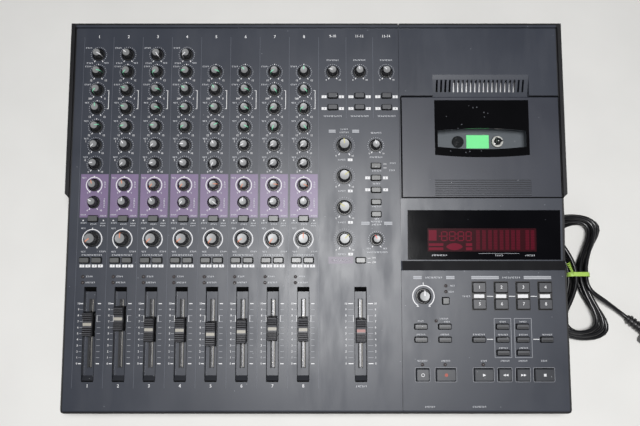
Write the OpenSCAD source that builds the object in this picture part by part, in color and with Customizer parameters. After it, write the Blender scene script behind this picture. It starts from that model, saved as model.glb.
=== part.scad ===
// Desktop multitrack cassette recorder: sloping mixer panel with faders and knobs,
// cassette deck with a hinged lid, display and transport keys, and a tied mains cord.
// Panel places are (u, v, w): u across, v up the slope from the front edge, w out of the panel.

/* [Case] */
// Margin left of the first channel strip
left_margin = 11; // [8:0.5:20]
// Width of one channel strip
channel_pitch = 31; // [29:0.5:36]
// Width of the master section
master_w = 84.5; // [82:0.5:95]
// Width of the deck section
deck_w = 169.5; // [167:0.5:190]
// Length of the sloping panel, front edge to back edge
panel_len = 404; // [396:1:440]
// Slope of the panel, degrees
slope = 8; // [6:0.5:10]
// Height of the panel's front edge above the table
front_h = 48; // [46:1:70]
// Height of the feet
foot_h = 4; // [2:0.5:8]
// Radius of the feet
foot_r = 9; // [6:0.5:14]
// Thickness of the tray floor
floor_t = 2.5; // [2:0.25:4]
// Height of the parting line above the table
part_z = 16; // [13:0.5:18]
// Thickness of the case walls
wall = 3; // [2.5:0.25:4]
// Thickness of the panel
cover_t = 3; // [2.5:0.25:4]
// Radius of the front corners in plan
corner_r = 4.5; // [3:0.5:8]
// Radius of the panel's front edge
edge_r = 4; // [2:0.5:6]
// Chamfer along the panel's side edges
side_cut = 1.5; // [0.5:0.25:2]

/* [Rim] */
// Width of the rim round the back half
rim_w = 4; // [3.5:0.25:6]
// Rise of the rim above the panel
rim_rise = 2; // [1:0.25:4]
// Reach of the rim past the case sides
rim_over = 3; // [2:0.25:3.25]
// Depth of the rim down the case sides
rim_drop = 12; // [8:1:20]
// Distance from the front edge to the rim's chamfered ends
rim_start = 219; // [210:1:230]
// Width of the groove inside the rim
groove_w = 1.2; // [0.8:0.1:1.5]
// Depth of the groove inside the rim
groove_d = 1.5; // [0.5:0.25:2]

/* [Controls] */
// Radius of a small knob
knob_r = 4.65; // [4.2:0.05:5.2]
// Radius of a small knob's cap
knob_cap_r = 3.6; // [3.2:0.1:4]
// Height of a small knob above the panel
knob_h = 9; // [7:0.5:13]
// Radius of a large knob
big_knob_r = 6.05; // [5.5:0.05:6.8]
// Radius of a large knob's cap
big_cap_r = 5; // [4.4:0.1:5.4]
// Height of a large knob above the panel
big_knob_h = 11; // [8:0.5:15]
// Gap between a knob and its well
well_gap = 2.05; // [1:0.05:2.5]
// Depth of the knob wells
well_d = 2; // [1:0.25:2.25]
// Radius of the control shafts
shaft_r = 2.95; // [2:0.05:3]
// Radial running clearance of shafts and pins
run_gap = 0.05; // [0.02:0.01:0.1]
// Gap round buttons, keys and lamps
key_gap = 0.35; // [0.3:0.05:0.5]
// Height of the small buttons above the panel
button_h = 2.6; // [2:0.2:5]
// Travel of the small buttons
button_travel = 1.5; // [0.5:0.25:1.75]
// Height of the transport keys above the panel
key_h = 3.2; // [2:0.2:5]
// Travel of the transport keys
key_travel = 1.5; // [0.5:0.25:1.75]
// Radius of the indicator lamps
lamp_r = 1.3; // [1:0.1:1.6]

/* [Faders] */
// Travel of a fader
fader_travel = 60; // [50:1:64]
// Width of a fader cap
fader_cap_w = 9.3; // [8:0.1:10]
// Length of a fader cap
fader_cap_l = 25.6; // [20:0.2:27]
// Height of a fader cap above the panel
fader_cap_h = 9; // [6:0.5:12]
// Width of a fader recess
recess_w = 12; // [11.5:0.25:14]
// Gap between a fader cap at its stop and the end of its recess
recess_end = 4.2; // [3.8:0.1:6]
// Depth of a fader recess
recess_d = 6; // [4:0.25:6.5]
// Distance from the front edge to the fader recesses
recess_v = 32.4; // [31:0.2:36]
// Length of a fader lever along its travel
lever_l = 8; // [5:0.5:9]
// Thickness of a fader lever
lever_t = 2; // [1.5:0.1:2.5]

/* [Deck] */
// Length of the sunk area that holds the display
display_l = 64; // [62:0.5:68]
// Length of the lid opening along the slope
lid_l = 107; // [104:0.5:110]
// Gap round the lid
lid_gap = 0.4; // [0.35:0.05:0.8]
// Thickness of the lid
lid_t = 3; // [2.8:0.1:4]
// Radius of the lid's pivot pins
lid_pin_r = 1.1; // [0.8:0.05:1.2]
// Width of the lid window
window_w = 98.8; // [90:0.4:100]
// Thickness of the lid window
window_t = 1.8; // [1.2:0.1:2]
// Distance between the hubs
hub_gap = 42.5; // [42.5:0.5:46]
// Depth of the cassette well below the panel
well_floor = 22; // [21:0.5:26]
// Width of the display lens
lens_w = 157.4; // [140:0.2:158]
// Length of the display lens
lens_l = 51; // [46:0.5:52]
// Thickness of the display lens
lens_t = 2; // [1.5:0.1:2.2]
// Sink of the display's front edge below the panel
display_sink = 4; // [2:0.25:5]
// Radius of the plug sockets' bores
socket_r = 3.25; // [3.2:0.01:3.35]

/* [Cord] */
// Diameter of the mains cord
cord_d = 4.6; // [4.2:0.1:4.8]
// Length of the strain relief at the case
gland_l = 20; // [18:1:24]

/* [Hidden] */
$fn = 48;

// Rows up the slope, each set off from the row in front of it, and the tone rows spread between
lamp_step = [10.2, 4.2];
assign_step = 16.8;
pan_step = 21.8;
flip_step = 21;
cue_step = 17.1;
cue_pitch = 18;
tone_step = 22.25;
gain_step = 18.9;
back_margin = 33.3;
recess_l = fader_travel + fader_cap_l + 2 * recess_end;
fader_v = recess_v + recess_l / 2;
lamp_v = [for (d = lamp_step) recess_v + recess_l + d];
assign_v = lamp_v[0] + assign_step;
pan_v = assign_v + pan_step;
flip_v = pan_v + flip_step;
cue_level_v = flip_v + cue_step;
cue_pan_v = cue_level_v + cue_pitch;
gain_v = panel_len - back_margin;
tone_v = gain_v - gain_step;
row_pitch = (tone_v - cue_pan_v - tone_step) / 5;
line_v = [recess_v - 7.4, panel_len - 14];
assign_du = [-7.2, 5.3];
lamp_du = -8.1;

body_w = left_margin + 8 * channel_pitch + master_w + deck_w;
half_w = body_w / 2;
half_d = panel_len * cos(slope) / 2;
left_u = -half_w;
strip_1_u = left_u + left_margin + channel_pitch / 2;
strips_end_u = left_u + left_margin + 8 * channel_pitch;
seam_u = strips_end_u + master_w;
seam_gap = 0.3;
mixer_edge_u = seam_u - seam_gap / 2;
deck_edge_u = seam_u + seam_gap / 2;
right_u = half_w;
deck_u = seam_u + deck_w / 2 + 1.5;
back_z = front_h + panel_len * sin(slope);
floor_z = foot_h + floor_t;
flange_t = 2;
flange_d = 13;
tray_inset = 0.5;
rim_in_u = half_w + rim_over - rim_w;

// Master section, across from the end of the strips
stereo_in_u = [14.9, 43.1, 71.4];
stereo_in_v = tone_v + 0.2;
stereo_step = [25.8, 38.3];
stereo_button_v = [for (d = stereo_step) stereo_in_v - d];
group_u = 26.7;
group_pitch = 32.7;
group_v = [for (k = [3:-1:0]) pan_v - 0.3 + k * group_pitch];
select_u = 59.6;
select_step = 26;
select_pitch = 12.65;
tape_in_v = group_v[0];
monitor_v = pan_v - 0.4;
select_v = [for (k = [4:-1:0]) monitor_v + select_step + k * select_pitch];
cue_button = [43.2, assign_v];
stereo_fader_u = 42.8;
master_line_v = stereo_in_v - 50;

// Deck section, across from the seam
speed_knob_at = [22.3, 116.9];
set_button_at = [44.9, 112.2];
set_lamps = [[45.3, 127.4], [45.3, 121.5], [34.8, 92]];
rec_col_u = [79, 101.4, 123.6, 146.1];
rec_row_v = [125.7, 108.9];
rec_size = [12.3, 9.2];
locate_at = [[19.2, 86.3], [43.4, 86.3], [19.2, 73.3], [43.4, 73.3], [77.7, 73.3], [101.8, 86.3],
    [101.8, 73.3], [101.8, 60.3], [122.1, 86.3], [122.1, 73.3], [122.1, 60.3], [146.3, 73.3]];
locate_size = [12, 4.4];
transport_v = 38.4;
transport_l = 12.3;
transport_u = [20.2, 43.6, 81.6, 102.9, 121.2, 142.5];
transport_w = [13.1, 19.9, 19.4, 13.1, 13.3, 19.6];
transport_lamps = [[20.2, 48.4], [43.1, 48.4], [81.4, 48.4]];
small_button = [9.2, 4.8];
flip_button = [9.4, 5.4];
set_button = [6, 6];
step_l = 10;
step_back = 17.3;
step_v = [rec_row_v[0] + step_back, rec_row_v[0] + step_back + step_l];
display_top_v = step_v[1] + display_l;

// Rest places of the faders, from the middle of their travel
fader_rest = [9.4, 14.9, 4.1, 3.6, -0.4, 2.2, 5, 4.2, 3];

// Boards and controls under the panel
board_w = -14;
board_t = 1.6;
board_gap = 6;
board_in = [8, 12];
pot_size = 9.6;
switch_w = 6;
switch_h = 2.2;
stem_w = 3;
press_gap = 0.3;
pot_h = 6;
shaft_top = 4;
boss_r = 3;
slide_pot_w = 10;
slide_pot_end = 12;
slide_pot_l = fader_travel + 2 * slide_pot_end;
trough_t = 1.2;
slot_gap = 0.4;
knob_foot = 1.2;
cap_t = 0.8;

// Deck mechanism
lid_v = display_top_v + 1.5;
lid_left_u = deck_edge_u + flange_t + 0.3;
lid_right_u = rim_in_u - groove_w;
lid_back_v = lid_v + lid_l;
pin_v = lid_back_v - lid_gap - lid_t / 2 - 0.3;
pin_w = -lid_t / 2;
pin_l = 1.5;
hub_v = lid_v + 63;
well_t = 2;
well_wall = 1.5;
well_inset = 3;
well_top = -9;
hub_r = 6;
hub_hole_gap = 0.5;
chassis_w = -36;
chassis_t = 2;
hub_shaft_r = 2;
capstan_r = 1.5;
capstan_at = [34, -18.5];
flywheel_r = 24;
carriage_v = lid_v + 10.5;
grille_w = 101.4;
grille_l = 23.5;
grille_d = 7;
slot_pitch = 4.55;
slot_count = 21;

// Sockets
front_socket_z = 25;
front_socket_u = [27, 76.6];
socket_out_r = 5.5;
socket_l = 28;
panel_gap = 4;
panel_t = 2.5;
rear_y = half_d - panel_gap;
rear_top = back_z - 6;
phone_pitch = 26;
phone_in = 28.5;
phone_up = 29.5;
pin_pitch = 24;
pin_in = 31.5;
pin_up = 22;
pin_row = 16;
phone_at = [for (i = [0:11]) [left_u + phone_in + phone_pitch * i, floor_z + phone_up]];
pin_at = [for (i = [0:9]) [for (j = [0, 1])
    [left_u + pin_in + pin_pitch * i, floor_z + phone_up + pin_up + pin_row * j]]];
phone_r = 5.8;
front_jack = [15, 13];
rear_jack = [15, 15];
pin_body = [12, 12, 8];
pin_hole_r = 1.6;
pin_jack_r = 4.2;

// Cord
cord_r = cord_d / 2;
gland_at = [225, 26];
gland_r = [5.5, 3.6];
hank_at = [287, -55];
hank_lift = 1.6;
hank_layer = 5.5;
hank_turns = 5.25;
hank_steps = 24;
tie_len = 5;
plug_at = [338, -100, 8.5];
plug_turn = -40;
lead_points = [[225, 222, 25], [230, 234, 20], [243, 239, 13], [256, 238, 7], [268, 232, 3.5],
    [273, 219, 2.5], [272, 196, 2.5], [270, 160, 2.5], [269, 110, 2.5], [268, 70, 2.5],
    [268, 34, 2.5], [273.5, 18.5, 2.5]];
tail_bend = [[294.5, -66, 20.9], [297.6, -72.2, 20.7], [303.2, -77, 19.6], [315, -84.2, 15.5]];

function strip_u(i) = strip_1_u + i * channel_pitch;
function panel_y(v, w) = -half_d + v * cos(slope) - w * sin(slope);
function panel_z(v, w) = front_h + v * sin(slope) + w * cos(slope);
function panel_yz(v, w) = [panel_y(v, w), panel_z(v, w)];
function under_z(y, t) = front_h + (y + half_d) * tan(slope) - t / cos(slope);

// Small knobs of the channel strips and the stereo inputs
function tone_rows() = [for (k = [0:5]) tone_v - k * row_pitch];
function small_knobs() = concat(
    [for (i = [0:3]) [strip_u(i), gain_v]],
    [for (i = [0:7]) for (v = concat(tone_rows(), [cue_pan_v, cue_level_v])) [strip_u(i), v]],
    [for (u = stereo_in_u) [strips_end_u + u, stereo_in_v]]);
function pan_places() = [for (i = [0:7]) [strip_u(i), pan_v]];
function group_places() = [for (v = group_v) [strips_end_u + group_u, v]];
function tape_in_place() = [strips_end_u + select_u, tape_in_v];
function monitor_place() = [strips_end_u + select_u, monitor_v];
function speed_place() = [seam_u + speed_knob_at[0], speed_knob_at[1]];
function fader_u(i) = i < 8 ? strip_u(i) : strips_end_u + stereo_fader_u;
function flip_places() = [for (i = [0:7]) [strip_u(i), flip_v]];
function assign_places() = [for (i = [0:7]) for (d = assign_du) [strip_u(i) + d, assign_v]];
function stereo_places() = [for (u = stereo_in_u) for (v = stereo_button_v) [strips_end_u + u, v]];
function select_places() = concat([for (v = select_v) [strips_end_u + select_u, v]],
    [[strips_end_u + cue_button[0], cue_button[1]]]);
function rec_places() = [for (u = rec_col_u) for (v = rec_row_v) [seam_u + u, v]];
function locate_places() = [for (p = locate_at) [seam_u + p[0], p[1]]];
function set_place() = [seam_u + set_button_at[0], set_button_at[1]];
function transport_places() = [for (u = transport_u) [seam_u + u, transport_v]];
function strip_lamps() = [for (i = [0:7]) for (v = lamp_v) [strip_u(i) + lamp_du, v]];
function deck_lamps() = [for (p = concat(set_lamps, transport_lamps)) [seam_u + p[0], p[1]]];
function hub_place(side) = [deck_u + side * hub_gap / 2, hub_v];
function capstan_place() = [deck_u + capstan_at[0], hub_v + capstan_at[1]];

// Corner posts of the two cover halves: [x, y]
post_w = 10;
post_in = 10;
post_back = 16;
post_rows = [-half_d + post_in, half_d - post_back];
mixer_posts = [for (x = [left_u + post_in, seam_u - post_in]) for (y = post_rows) [x, y]];
deck_posts = [for (x = [seam_u + post_in, right_u - post_in]) for (y = post_rows) [x, y]];
foot_in = [38, 32];
screw_r = 1.25;
screw_l = 14;
screw_head_r = 3;
screw_head_t = 1.2;

module on_panel() {
    translate([0, -half_d, front_h])
        rotate([slope, 0, 0])
            children();
}

// Sets its children at a panel place
module at_panel(p, w = 0) {
    translate([p[0], p[1], w])
        children();
}

// Extrudes a side profile, drawn in (y, z), from x0 to x1
module along_x(x0, x1) {
    translate([x0, 0, 0])
        rotate([90, 0, 90])
            linear_extrude(x1 - x0)
                children();
}

module block(size, p, w0, w1) {
    translate([p[0] - size[0] / 2, p[1] - size[1] / 2, w0])
        cube([size[0], size[1], w1 - w0]);
}

module plan_outline(inset) {
    r = corner_r - inset;
    x = half_w - inset;
    y = half_d - inset;
    translate([-x, -y + r])
        square([2 * x, 2 * y - r]);
    translate([-x + r, -y])
        square([2 * (x - r), 2 * r]);
    for (s = [-1, 1])
        translate([s * (x - r), -y + r])
            circle(r);
}

// Solid side profile of the case from the parting line up to the panel
module outer_profile(sunk) {
    round_v = edge_r * (1 - sin(slope)) / cos(slope);
    round_at = panel_yz(round_v, -edge_r);
    sunk_points = [panel_yz(step_v[0], 0), panel_yz(step_v[1], -display_sink), panel_yz(display_top_v, 0)];
    polygon(concat([[-half_d, part_z], [-half_d, round_at[1]], panel_yz(round_v, 0)],
        sunk ? sunk_points : [],
        [[half_d, back_z], [half_d, part_z]]));
    translate(round_at)
        circle(edge_r);
}

// Room under the panel
module inner_profile(sunk, t) {
    y0 = -half_d + wall;
    y1 = half_d + 1;
    low = part_z - 1;
    sunk_points = [panel_yz(step_v[0] - 0.5, -t), panel_yz(step_v[1], -display_sink - t),
        panel_yz(display_top_v + 0.5, -t)];
    polygon(concat([[y0, low], [y0, under_z(y0, t)]],
        sunk ? sunk_points : [],
        [[y1, under_z(y1, t)], [y1, low]]));
}

// Room under the seam flange, which ends in front of the rear panel
module flange_room(x0, x1) {
    y0 = rear_y - panel_t - 0.5;
    y1 = half_d + 1;
    low = part_z - 1;
    along_x(x0, x1) {
        inner_profile(false, flange_d);
        polygon([[y0, low], [y0, under_z(y0, cover_t + 0.5)], [y1, under_z(y1, cover_t + 0.5)], [y1, low]]);
    }
}

// Rim round one rear corner, side -1 left or 1 right, reaching to inner_u
module rim(side, inner_u) {
    out = half_w + rim_over;
    reach = abs(inner_u - side * out);
    intersection() {
        on_panel()
            translate([0, 0, -rim_drop])
                linear_extrude(rim_drop + rim_rise) {
                    polygon([[side * out, panel_len + 5], [side * out, rim_start + rim_over],
                        [side * (half_w - 0.5), rim_start - 0.5], [side * rim_in_u, rim_start - 0.5],
                        [side * rim_in_u, panel_len + 5]]);
                    translate([min(side * out, inner_u), panel_len - rim_w])
                        square([reach, rim_w + 5]);
                }
        translate([-out, -half_d, part_z])
            cube([2 * out, 2 * half_d, back_z]);
    }
}

// Groove between the rim and the panel on one side, taking a little off the rim
module rim_groove(side, inner_u) {
    bite = 0.1;
    edge = side * (rim_in_u + bite);
    near = side * (rim_in_u - groove_w);
    back = panel_len - rim_w;
    on_panel()
        translate([0, 0, -groove_d])
            linear_extrude(groove_d + rim_rise + 1)
                polygon([[edge, rim_start - 0.5], [near, rim_start - 0.5], [near, back - groove_w],
                    [inner_u, back - groove_w], [inner_u, back + bite], [edge, back + bite]]);
}

// Chamfer along a side edge of the panel, in front of the rim
module edge_bar(side) {
    on_panel()
        translate([side * half_w, rim_start - 1, 0])
            rotate([90, 0, 0])
                linear_extrude(rim_start + 9)
                    polygon([[-side * (side_cut + 1), 1], [side, 1], [side, -side_cut - 1]]);
}

// Well and shaft hole of one knob, cut from the panel
module knob_well(p, r) {
    at_panel(p, -well_d)
        cylinder(r = r + well_gap, h = well_d + 1);
    at_panel(p, -cover_t - 1)
        cylinder(r = shaft_r + 0.5, h = cover_t);
}

module button_hole(p, size) {
    block([size[0] + 2 * key_gap, size[1] + 2 * key_gap], p, -cover_t - 1, 1);
}

module lamp_hole(p) {
    at_panel(p, -cover_t - 1)
        cylinder(r = lamp_r + key_gap, h = cover_t + 2);
}

// Trough that hangs under the panel round one fader recess
module fader_trough(u) {
    block([recess_w + 2 * trough_t, recess_l + 2 * trough_t], [u, fader_v], -recess_d - trough_t, -0.5);
}

// Recess with sloping ends and lever slot of one fader
module fader_cut(u) {
    slope_l = 0.7 * recess_d;
    translate([u - recess_w / 2, fader_v, 0])
        rotate([90, 0, 90])
            linear_extrude(recess_w)
                polygon([[-recess_l / 2, 0.01], [-recess_l / 2 + slope_l, -recess_d],
                    [recess_l / 2 - slope_l, -recess_d], [recess_l / 2, 0.01]]);
    block([lever_t + 2.4, fader_travel + lever_l + 2 * slot_gap], [u, fader_v], -recess_d - trough_t - 1,
        -recess_d + 1);
}

// Hanging boss from the panel down to the board
module board_boss(p) {
    at_panel(p, board_w)
        cylinder(r = boss_r, h = -board_w - 0.5);
}

// Corner posts of a cover half, with screw pilots
module cover_posts(posts) {
    intersection() {
        for (p = posts)
            translate([p[0] - post_w / 2, p[1] - post_w / 2, floor_z])
                cube([post_w, post_w, back_z]);
        along_x(left_u, right_u)
            polygon([[-half_d + 0.5, 0], [-half_d + 0.5, under_z(-half_d, edge_r / 2)],
                [half_d - 0.5, under_z(half_d, edge_r / 2)], [half_d - 0.5, 0]]);
    }
}

module pilot_holes(posts) {
    for (p = posts)
        translate([p[0], p[1], floor_z - 1])
            cylinder(r = screw_r + run_gap, h = screw_l + 2);
}

boss_in = [16, 18];
boss_step = [13.4, 89.8];
boss_v = [boss_in[0], assign_v - boss_step[0], tone_v - boss_step[1], panel_len - boss_in[1]];
mixer_boss_at = [for (k = [1, 4, 7]) for (v = boss_v)
    [left_u + left_margin + k * channel_pitch, v]];
deck_boss_at = [for (u = [seam_u + 11, right_u - 11]) for (v = [24, 100]) [u, v]];

module bottom_case() {
    color([0.16, 0.17, 0.19])
        difference() {
            union() {
                difference() {
                    translate([0, 0, foot_h])
                        linear_extrude(part_z - foot_h)
                            plan_outline(tray_inset);
                    translate([0, 0, floor_z])
                        linear_extrude(part_z)
                            plan_outline(tray_inset + wall);
                }
                for (p = chassis_feet)
                    chassis_post(p);
            }
            for (p = concat(mixer_posts, deck_posts)) {
                translate([p[0], p[1], foot_h - 1])
                    cylinder(r = screw_r + 0.4, h = floor_t + 2);
                translate([p[0], p[1], foot_h - 1])
                    cylinder(r = screw_head_r + 0.3, h = 1 + screw_head_t);
            }
        }
}

// Post from the tray floor up to the deck chassis, square to the panel
module chassis_post(p) {
    top = chassis_w - chassis_t;
    len = (panel_z(p[1], top) - floor_z + floor_t / 2) / cos(slope);
    on_panel()
        at_panel(p, top - len)
            cylinder(r = 4, h = len);
}

// Hollow left half of the case with its rim, before the controls are cut
module mixer_shell() {
    difference() {
        union() {
            difference() {
                intersection() {
                    along_x(left_u, mixer_edge_u)
                        outer_profile(false);
                    linear_extrude(back_z + 10)
                        plan_outline(0);
                }
                along_x(left_u + wall, mixer_edge_u - flange_t)
                    inner_profile(false, cover_t);
                flange_room(mixer_edge_u - flange_t - 1, mixer_edge_u + 1);
            }
            rim(-1, mixer_edge_u - seam_gap);
        }
        rim_groove(-1, mixer_edge_u + 1);
        edge_bar(-1);
    }
}

module mixer_cover() {
    color([0.27, 0.28, 0.31])
        difference() {
            union() {
                mixer_shell();
                cover_posts(mixer_posts);
                on_panel() {
                    for (i = [0:8])
                        fader_trough(fader_u(i));
                    for (p = mixer_boss_at)
                        board_boss(p);
                }
            }
            pilot_holes(mixer_posts);
            on_panel() {
                for (p = small_knobs())
                    knob_well(p, knob_r);
                for (p = [tape_in_place(), monitor_place()])
                    knob_well(p, knob_r);
                for (p = concat(pan_places(), group_places()))
                    knob_well(p, big_knob_r);
                for (i = [0:8])
                    fader_cut(fader_u(i));
                for (p = flip_places())
                    button_hole(p, flip_button);
                for (p = concat(assign_places(), stereo_places(), select_places()))
                    button_hole(p, small_button);
                for (p = strip_lamps())
                    lamp_hole(p);
                for (k = [0:8])
                    strip_line(left_u + left_margin + k * channel_pitch, line_v[0], line_v[1]);
                for (k = [0, 1])
                    strip_line(strips_end_u + (stereo_in_u[k] + stereo_in_u[k + 1]) / 2,
                        master_line_v, line_v[1]);
            }
        }
}

// Fine groove between two strips
module strip_line(u, v0, v1) {
    translate([u - 0.35, v0, -0.5])
        cube([0.7, v1 - v0, 1]);
}

// Hollow right half of the case, with the step down to the display
module deck_shell() {
    difference() {
        union() {
            difference() {
                intersection() {
                    along_x(deck_edge_u, right_u)
                        outer_profile(true);
                    linear_extrude(back_z + 10)
                        plan_outline(0);
                }
                along_x(deck_edge_u + flange_t, lid_right_u - 0.3)
                    inner_profile(true, cover_t);
                flange_room(deck_edge_u - 1, deck_edge_u + flange_t + 1);
            }
            rim(1, deck_edge_u + seam_gap);
        }
        rim_groove(1, deck_edge_u - 1);
        edge_bar(1);
    }
}

module deck_cover() {
    color([0.27, 0.28, 0.31]) {
        on_panel()
            lid_ledge();
        difference() {
            union() {
                deck_shell();
                cover_posts(deck_posts);
                on_panel() {
                    for (p = deck_boss_at)
                        board_boss(p);
                    grille_box();
                }
            }
            pilot_holes(deck_posts);
            front_sockets_cut();
            on_panel() {
                translate([lid_left_u, lid_v, -cover_t - 5])
                    cube([lid_right_u - lid_left_u, lid_l, cover_t + 6]);
                translate([lid_left_u - pin_l - 0.3, pin_v, pin_w])
                    rotate([0, 90, 0])
                        cylinder(r = lid_pin_r + run_gap, h = lid_right_u - lid_left_u + 2 * pin_l + 0.6);
                grille_cut();
                knob_well(speed_place(), big_knob_r);
                button_hole(set_place(), set_button);
                for (p = rec_places())
                    button_hole(p, rec_size);
                for (p = locate_places())
                    button_hole(p, locate_size);
                for (i = [0:5])
                    button_hole(transport_places()[i], [transport_w[i], transport_l]);
                for (p = deck_lamps())
                    lamp_hole(p);
            }
            on_display() {
                translate([deck_u - lens_w / 2 - lens_gap, lens_v - lens_gap, -lens_t])
                    cube([lens_w + 2 * lens_gap, lens_l + 2 * lens_gap, lens_t + 1]);
                translate([deck_u - tube_w / 2, tube_v, -cover_t - 2])
                    cube([tube_w, tube_l, cover_t + 2]);
            }
        }
    }
}

lens_gap = 0.15;
lens_v = 1.2;
tube_w = 112;
tube_l = 26;
tube_v = 8.5;
tube_t = 8;
tube_lip = 4;

// Places its children on the tilted display face
module on_display() {
    on_panel()
        translate([0, step_v[1], -display_sink])
            rotate([atan2(display_sink, display_top_v - step_v[1]), 0, 0])
                children();
}

// Stop that the front edge of the lid rests on
module lid_ledge() {
    u0 = lid_left_u + 1;
    v0 = lid_v - 3;
    translate([u0, 0, 0])
        rotate([90, 0, 90])
            linear_extrude(lid_right_u - lid_left_u - 2)
                polygon([[v0, -cover_t + 0.5], [v0, -cover_t - 3], [lid_v + ledge_reach, -cover_t - 3],
                    [lid_v + ledge_reach, -lid_t - 0.2], [lid_v - 0.3, -lid_t - 0.2],
                    [lid_v - 0.3, -cover_t + 0.5]]);
}

ledge_reach = 2;

// Housing of the slotted grille behind the lid
module grille_box() {
    translate([deck_u - grille_w / 2 - 2, lid_back_v, -grille_d - 3])
        cube([grille_w + 4, grille_l + 3, grille_d + 2]);
}

module grille_cut() {
    translate([deck_u - grille_w / 2, lid_back_v, 0])
        rotate([90, 0, 90])
            linear_extrude(grille_w)
                polygon([[-1, 0.01], [-1, -grille_d], [6, -grille_d], [19, -1.6], [grille_l, 0.01]]);
    for (i = [0:slot_count - 1])
        translate([deck_u + (i - (slot_count - 1) / 2) * slot_pitch - 1, lid_back_v + 6.5, -grille_d - 4])
            cube([2, 12, grille_d + 4]);
}

module front_sockets_cut() {
    for (u = front_socket_u)
        translate([seam_u + u, -half_d - 1, front_socket_z])
            rotate([-90, 0, 0])
                cylinder(r = socket_out_r + run_gap, h = wall + 2);
}

module rear_panel() {
    color([0.2, 0.2, 0.22])
        difference() {
            translate([-half_w + wall + 1, rear_y - panel_t, floor_z])
                cube([body_w - 2 * wall - 2, panel_t, rear_top - floor_z - 4]);
            for (p = phone_at)
                rear_hole(p, phone_r);
            for (row = pin_at)
                for (p = row)
                    rear_hole(p, pin_jack_r);
        }
}

module rear_hole(p, r) {
    translate([p[0], rear_y - panel_t - 1, p[1]])
        rotate([-90, 0, 0])
            cylinder(r = r + run_gap, h = panel_t + 2);
}

module feet() {
    color([0.08, 0.08, 0.08])
        for (x = [-1, 1])
            for (y = [-1, 1])
                translate([x * (half_w - foot_in[0]), y * (half_d - foot_in[1]), 0])
                    cylinder(r = foot_r, h = foot_h);
}

module case_screws() {
    color([0.55, 0.55, 0.57])
        for (p = concat(mixer_posts, deck_posts)) {
            translate([p[0], p[1], foot_h])
                cylinder(r = screw_head_r, h = screw_head_t);
            translate([p[0], p[1], foot_h])
                cylinder(r = screw_r, h = floor_t + screw_l);
        }
}

module mixer_board() {
    u0 = left_u + wall + board_gap;
    u1 = mixer_edge_u - flange_t - board_gap / 2;
    color([0.2, 0.36, 0.2])
        on_panel()
            difference() {
                union() {
                    translate([u0, board_in[0], board_w - board_t])
                        cube([u1 - u0, panel_len - board_in[0] - board_in[1], board_t]);
                    switches(concat(flip_places(), assign_places(), stereo_places(), select_places()));
                }
                for (x = [u0 - 1, u1 - post_room])
                    for (v = [board_in[0] - 1, panel_len - board_in[1] - post_room])
                        translate([x, v, board_w - board_t - 1])
                            cube([post_room + 1, post_room + 1, board_t + 2]);
            }
}

post_room = 16;

module deck_board() {
    u0 = deck_edge_u + flange_t + board_gap;
    u1 = lid_right_u - board_gap;
    color([0.2, 0.36, 0.2])
        on_panel()
            difference() {
                union() {
                    translate([u0, board_in[0], board_w - board_t])
                        cube([u1 - u0, step_v[0] - 2 * board_in[0], board_t]);
                    switches(concat(rec_places(), locate_places(), transport_places(), [set_place()]));
                }
                for (x = [u0 - 1, u1 - post_room])
                    translate([x, board_in[0] - 1, board_w - board_t - 1])
                        cube([post_room + 1, post_room - 4, board_t + 2]);
            }
}

// Mains transformer: foot plate, core and coil
core_foot = [58, 46, 3];
core_size = [48, 46, 40];
coil_size = [36, 62, 24];
core_u = -29;
core_back = 3.5;
core_at = [deck_u + core_u, rear_y - panel_t - core_back - (core_foot[1] + coil_size[1]) / 2];

module transformer() {
    color([0.5, 0.5, 0.52])
        translate([core_at[0], core_at[1], floor_z]) {
            cube(core_foot);
            translate([(core_foot[0] - core_size[0]) / 2, 0, core_foot[2]])
                cube(core_size);
            translate([(core_foot[0] - coil_size[0]) / 2, (core_foot[1] - coil_size[1]) / 2,
                core_foot[2] + (core_size[2] - coil_size[2]) / 2])
                cube(coil_size);
        }
}

// One rotary control: its body on the board and its shaft
module pot(p, low_w = board_w) {
    at_panel(p, low_w)
        translate([-pot_size / 2, -pot_size / 2, 0])
            cube([pot_size, pot_size, pot_h]);
    at_panel(p, low_w + pot_h - 0.5)
        cylinder(r = shaft_r, h = shaft_top - low_w - pot_h + 0.5);
}

module rotary_pots() {
    color([0.45, 0.46, 0.48])
        on_panel()
            for (p = concat(small_knobs(), pan_places(), group_places(),
                [tape_in_place(), monitor_place(), speed_place()]))
                pot(p);
}

module slide_pots() {
    color([0.6, 0.6, 0.62])
        on_panel()
            for (i = [0:8])
                difference() {
                    block([slide_pot_w, slide_pot_l], [fader_u(i), fader_v], board_w,
                        -recess_d - trough_t - 0.3);
                    block([lever_t + 2 * lever_gap, fader_travel + lever_l + 2 * slot_gap],
                        [fader_u(i), fader_v], board_w + 1.2, 0);
                }
}

lever_gap = 0.1;

// Turned knob with a bore for its shaft, at the origin of its place
module knob(p, r, cap_r, h) {
    on_panel()
        at_panel(p)
            difference() {
                union() {
                    translate([0, 0, -knob_foot])
                        cylinder(r = r, h = knob_foot + h - cap_t);
                    translate([0, 0, h - cap_t - 0.2])
                        cylinder(r = cap_r, h = cap_t + 0.2);
                }
                translate([0, 0, -knob_foot - 1])
                    cylinder(r = shaft_r + run_gap, h = knob_foot + 1 + shaft_top);
            }
}

module small_knob(p) {
    color([0.1, 0.1, 0.11])
        knob(p, knob_r, knob_cap_r, knob_h);
}

module big_knob(p) {
    color([0.1, 0.1, 0.11])
        knob(p, big_knob_r, big_cap_r, big_knob_h);
}

module channel_knobs() {
    for (p = small_knobs())
        small_knob(p);
}

module pan_knobs() {
    for (p = pan_places())
        big_knob(p);
}

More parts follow.
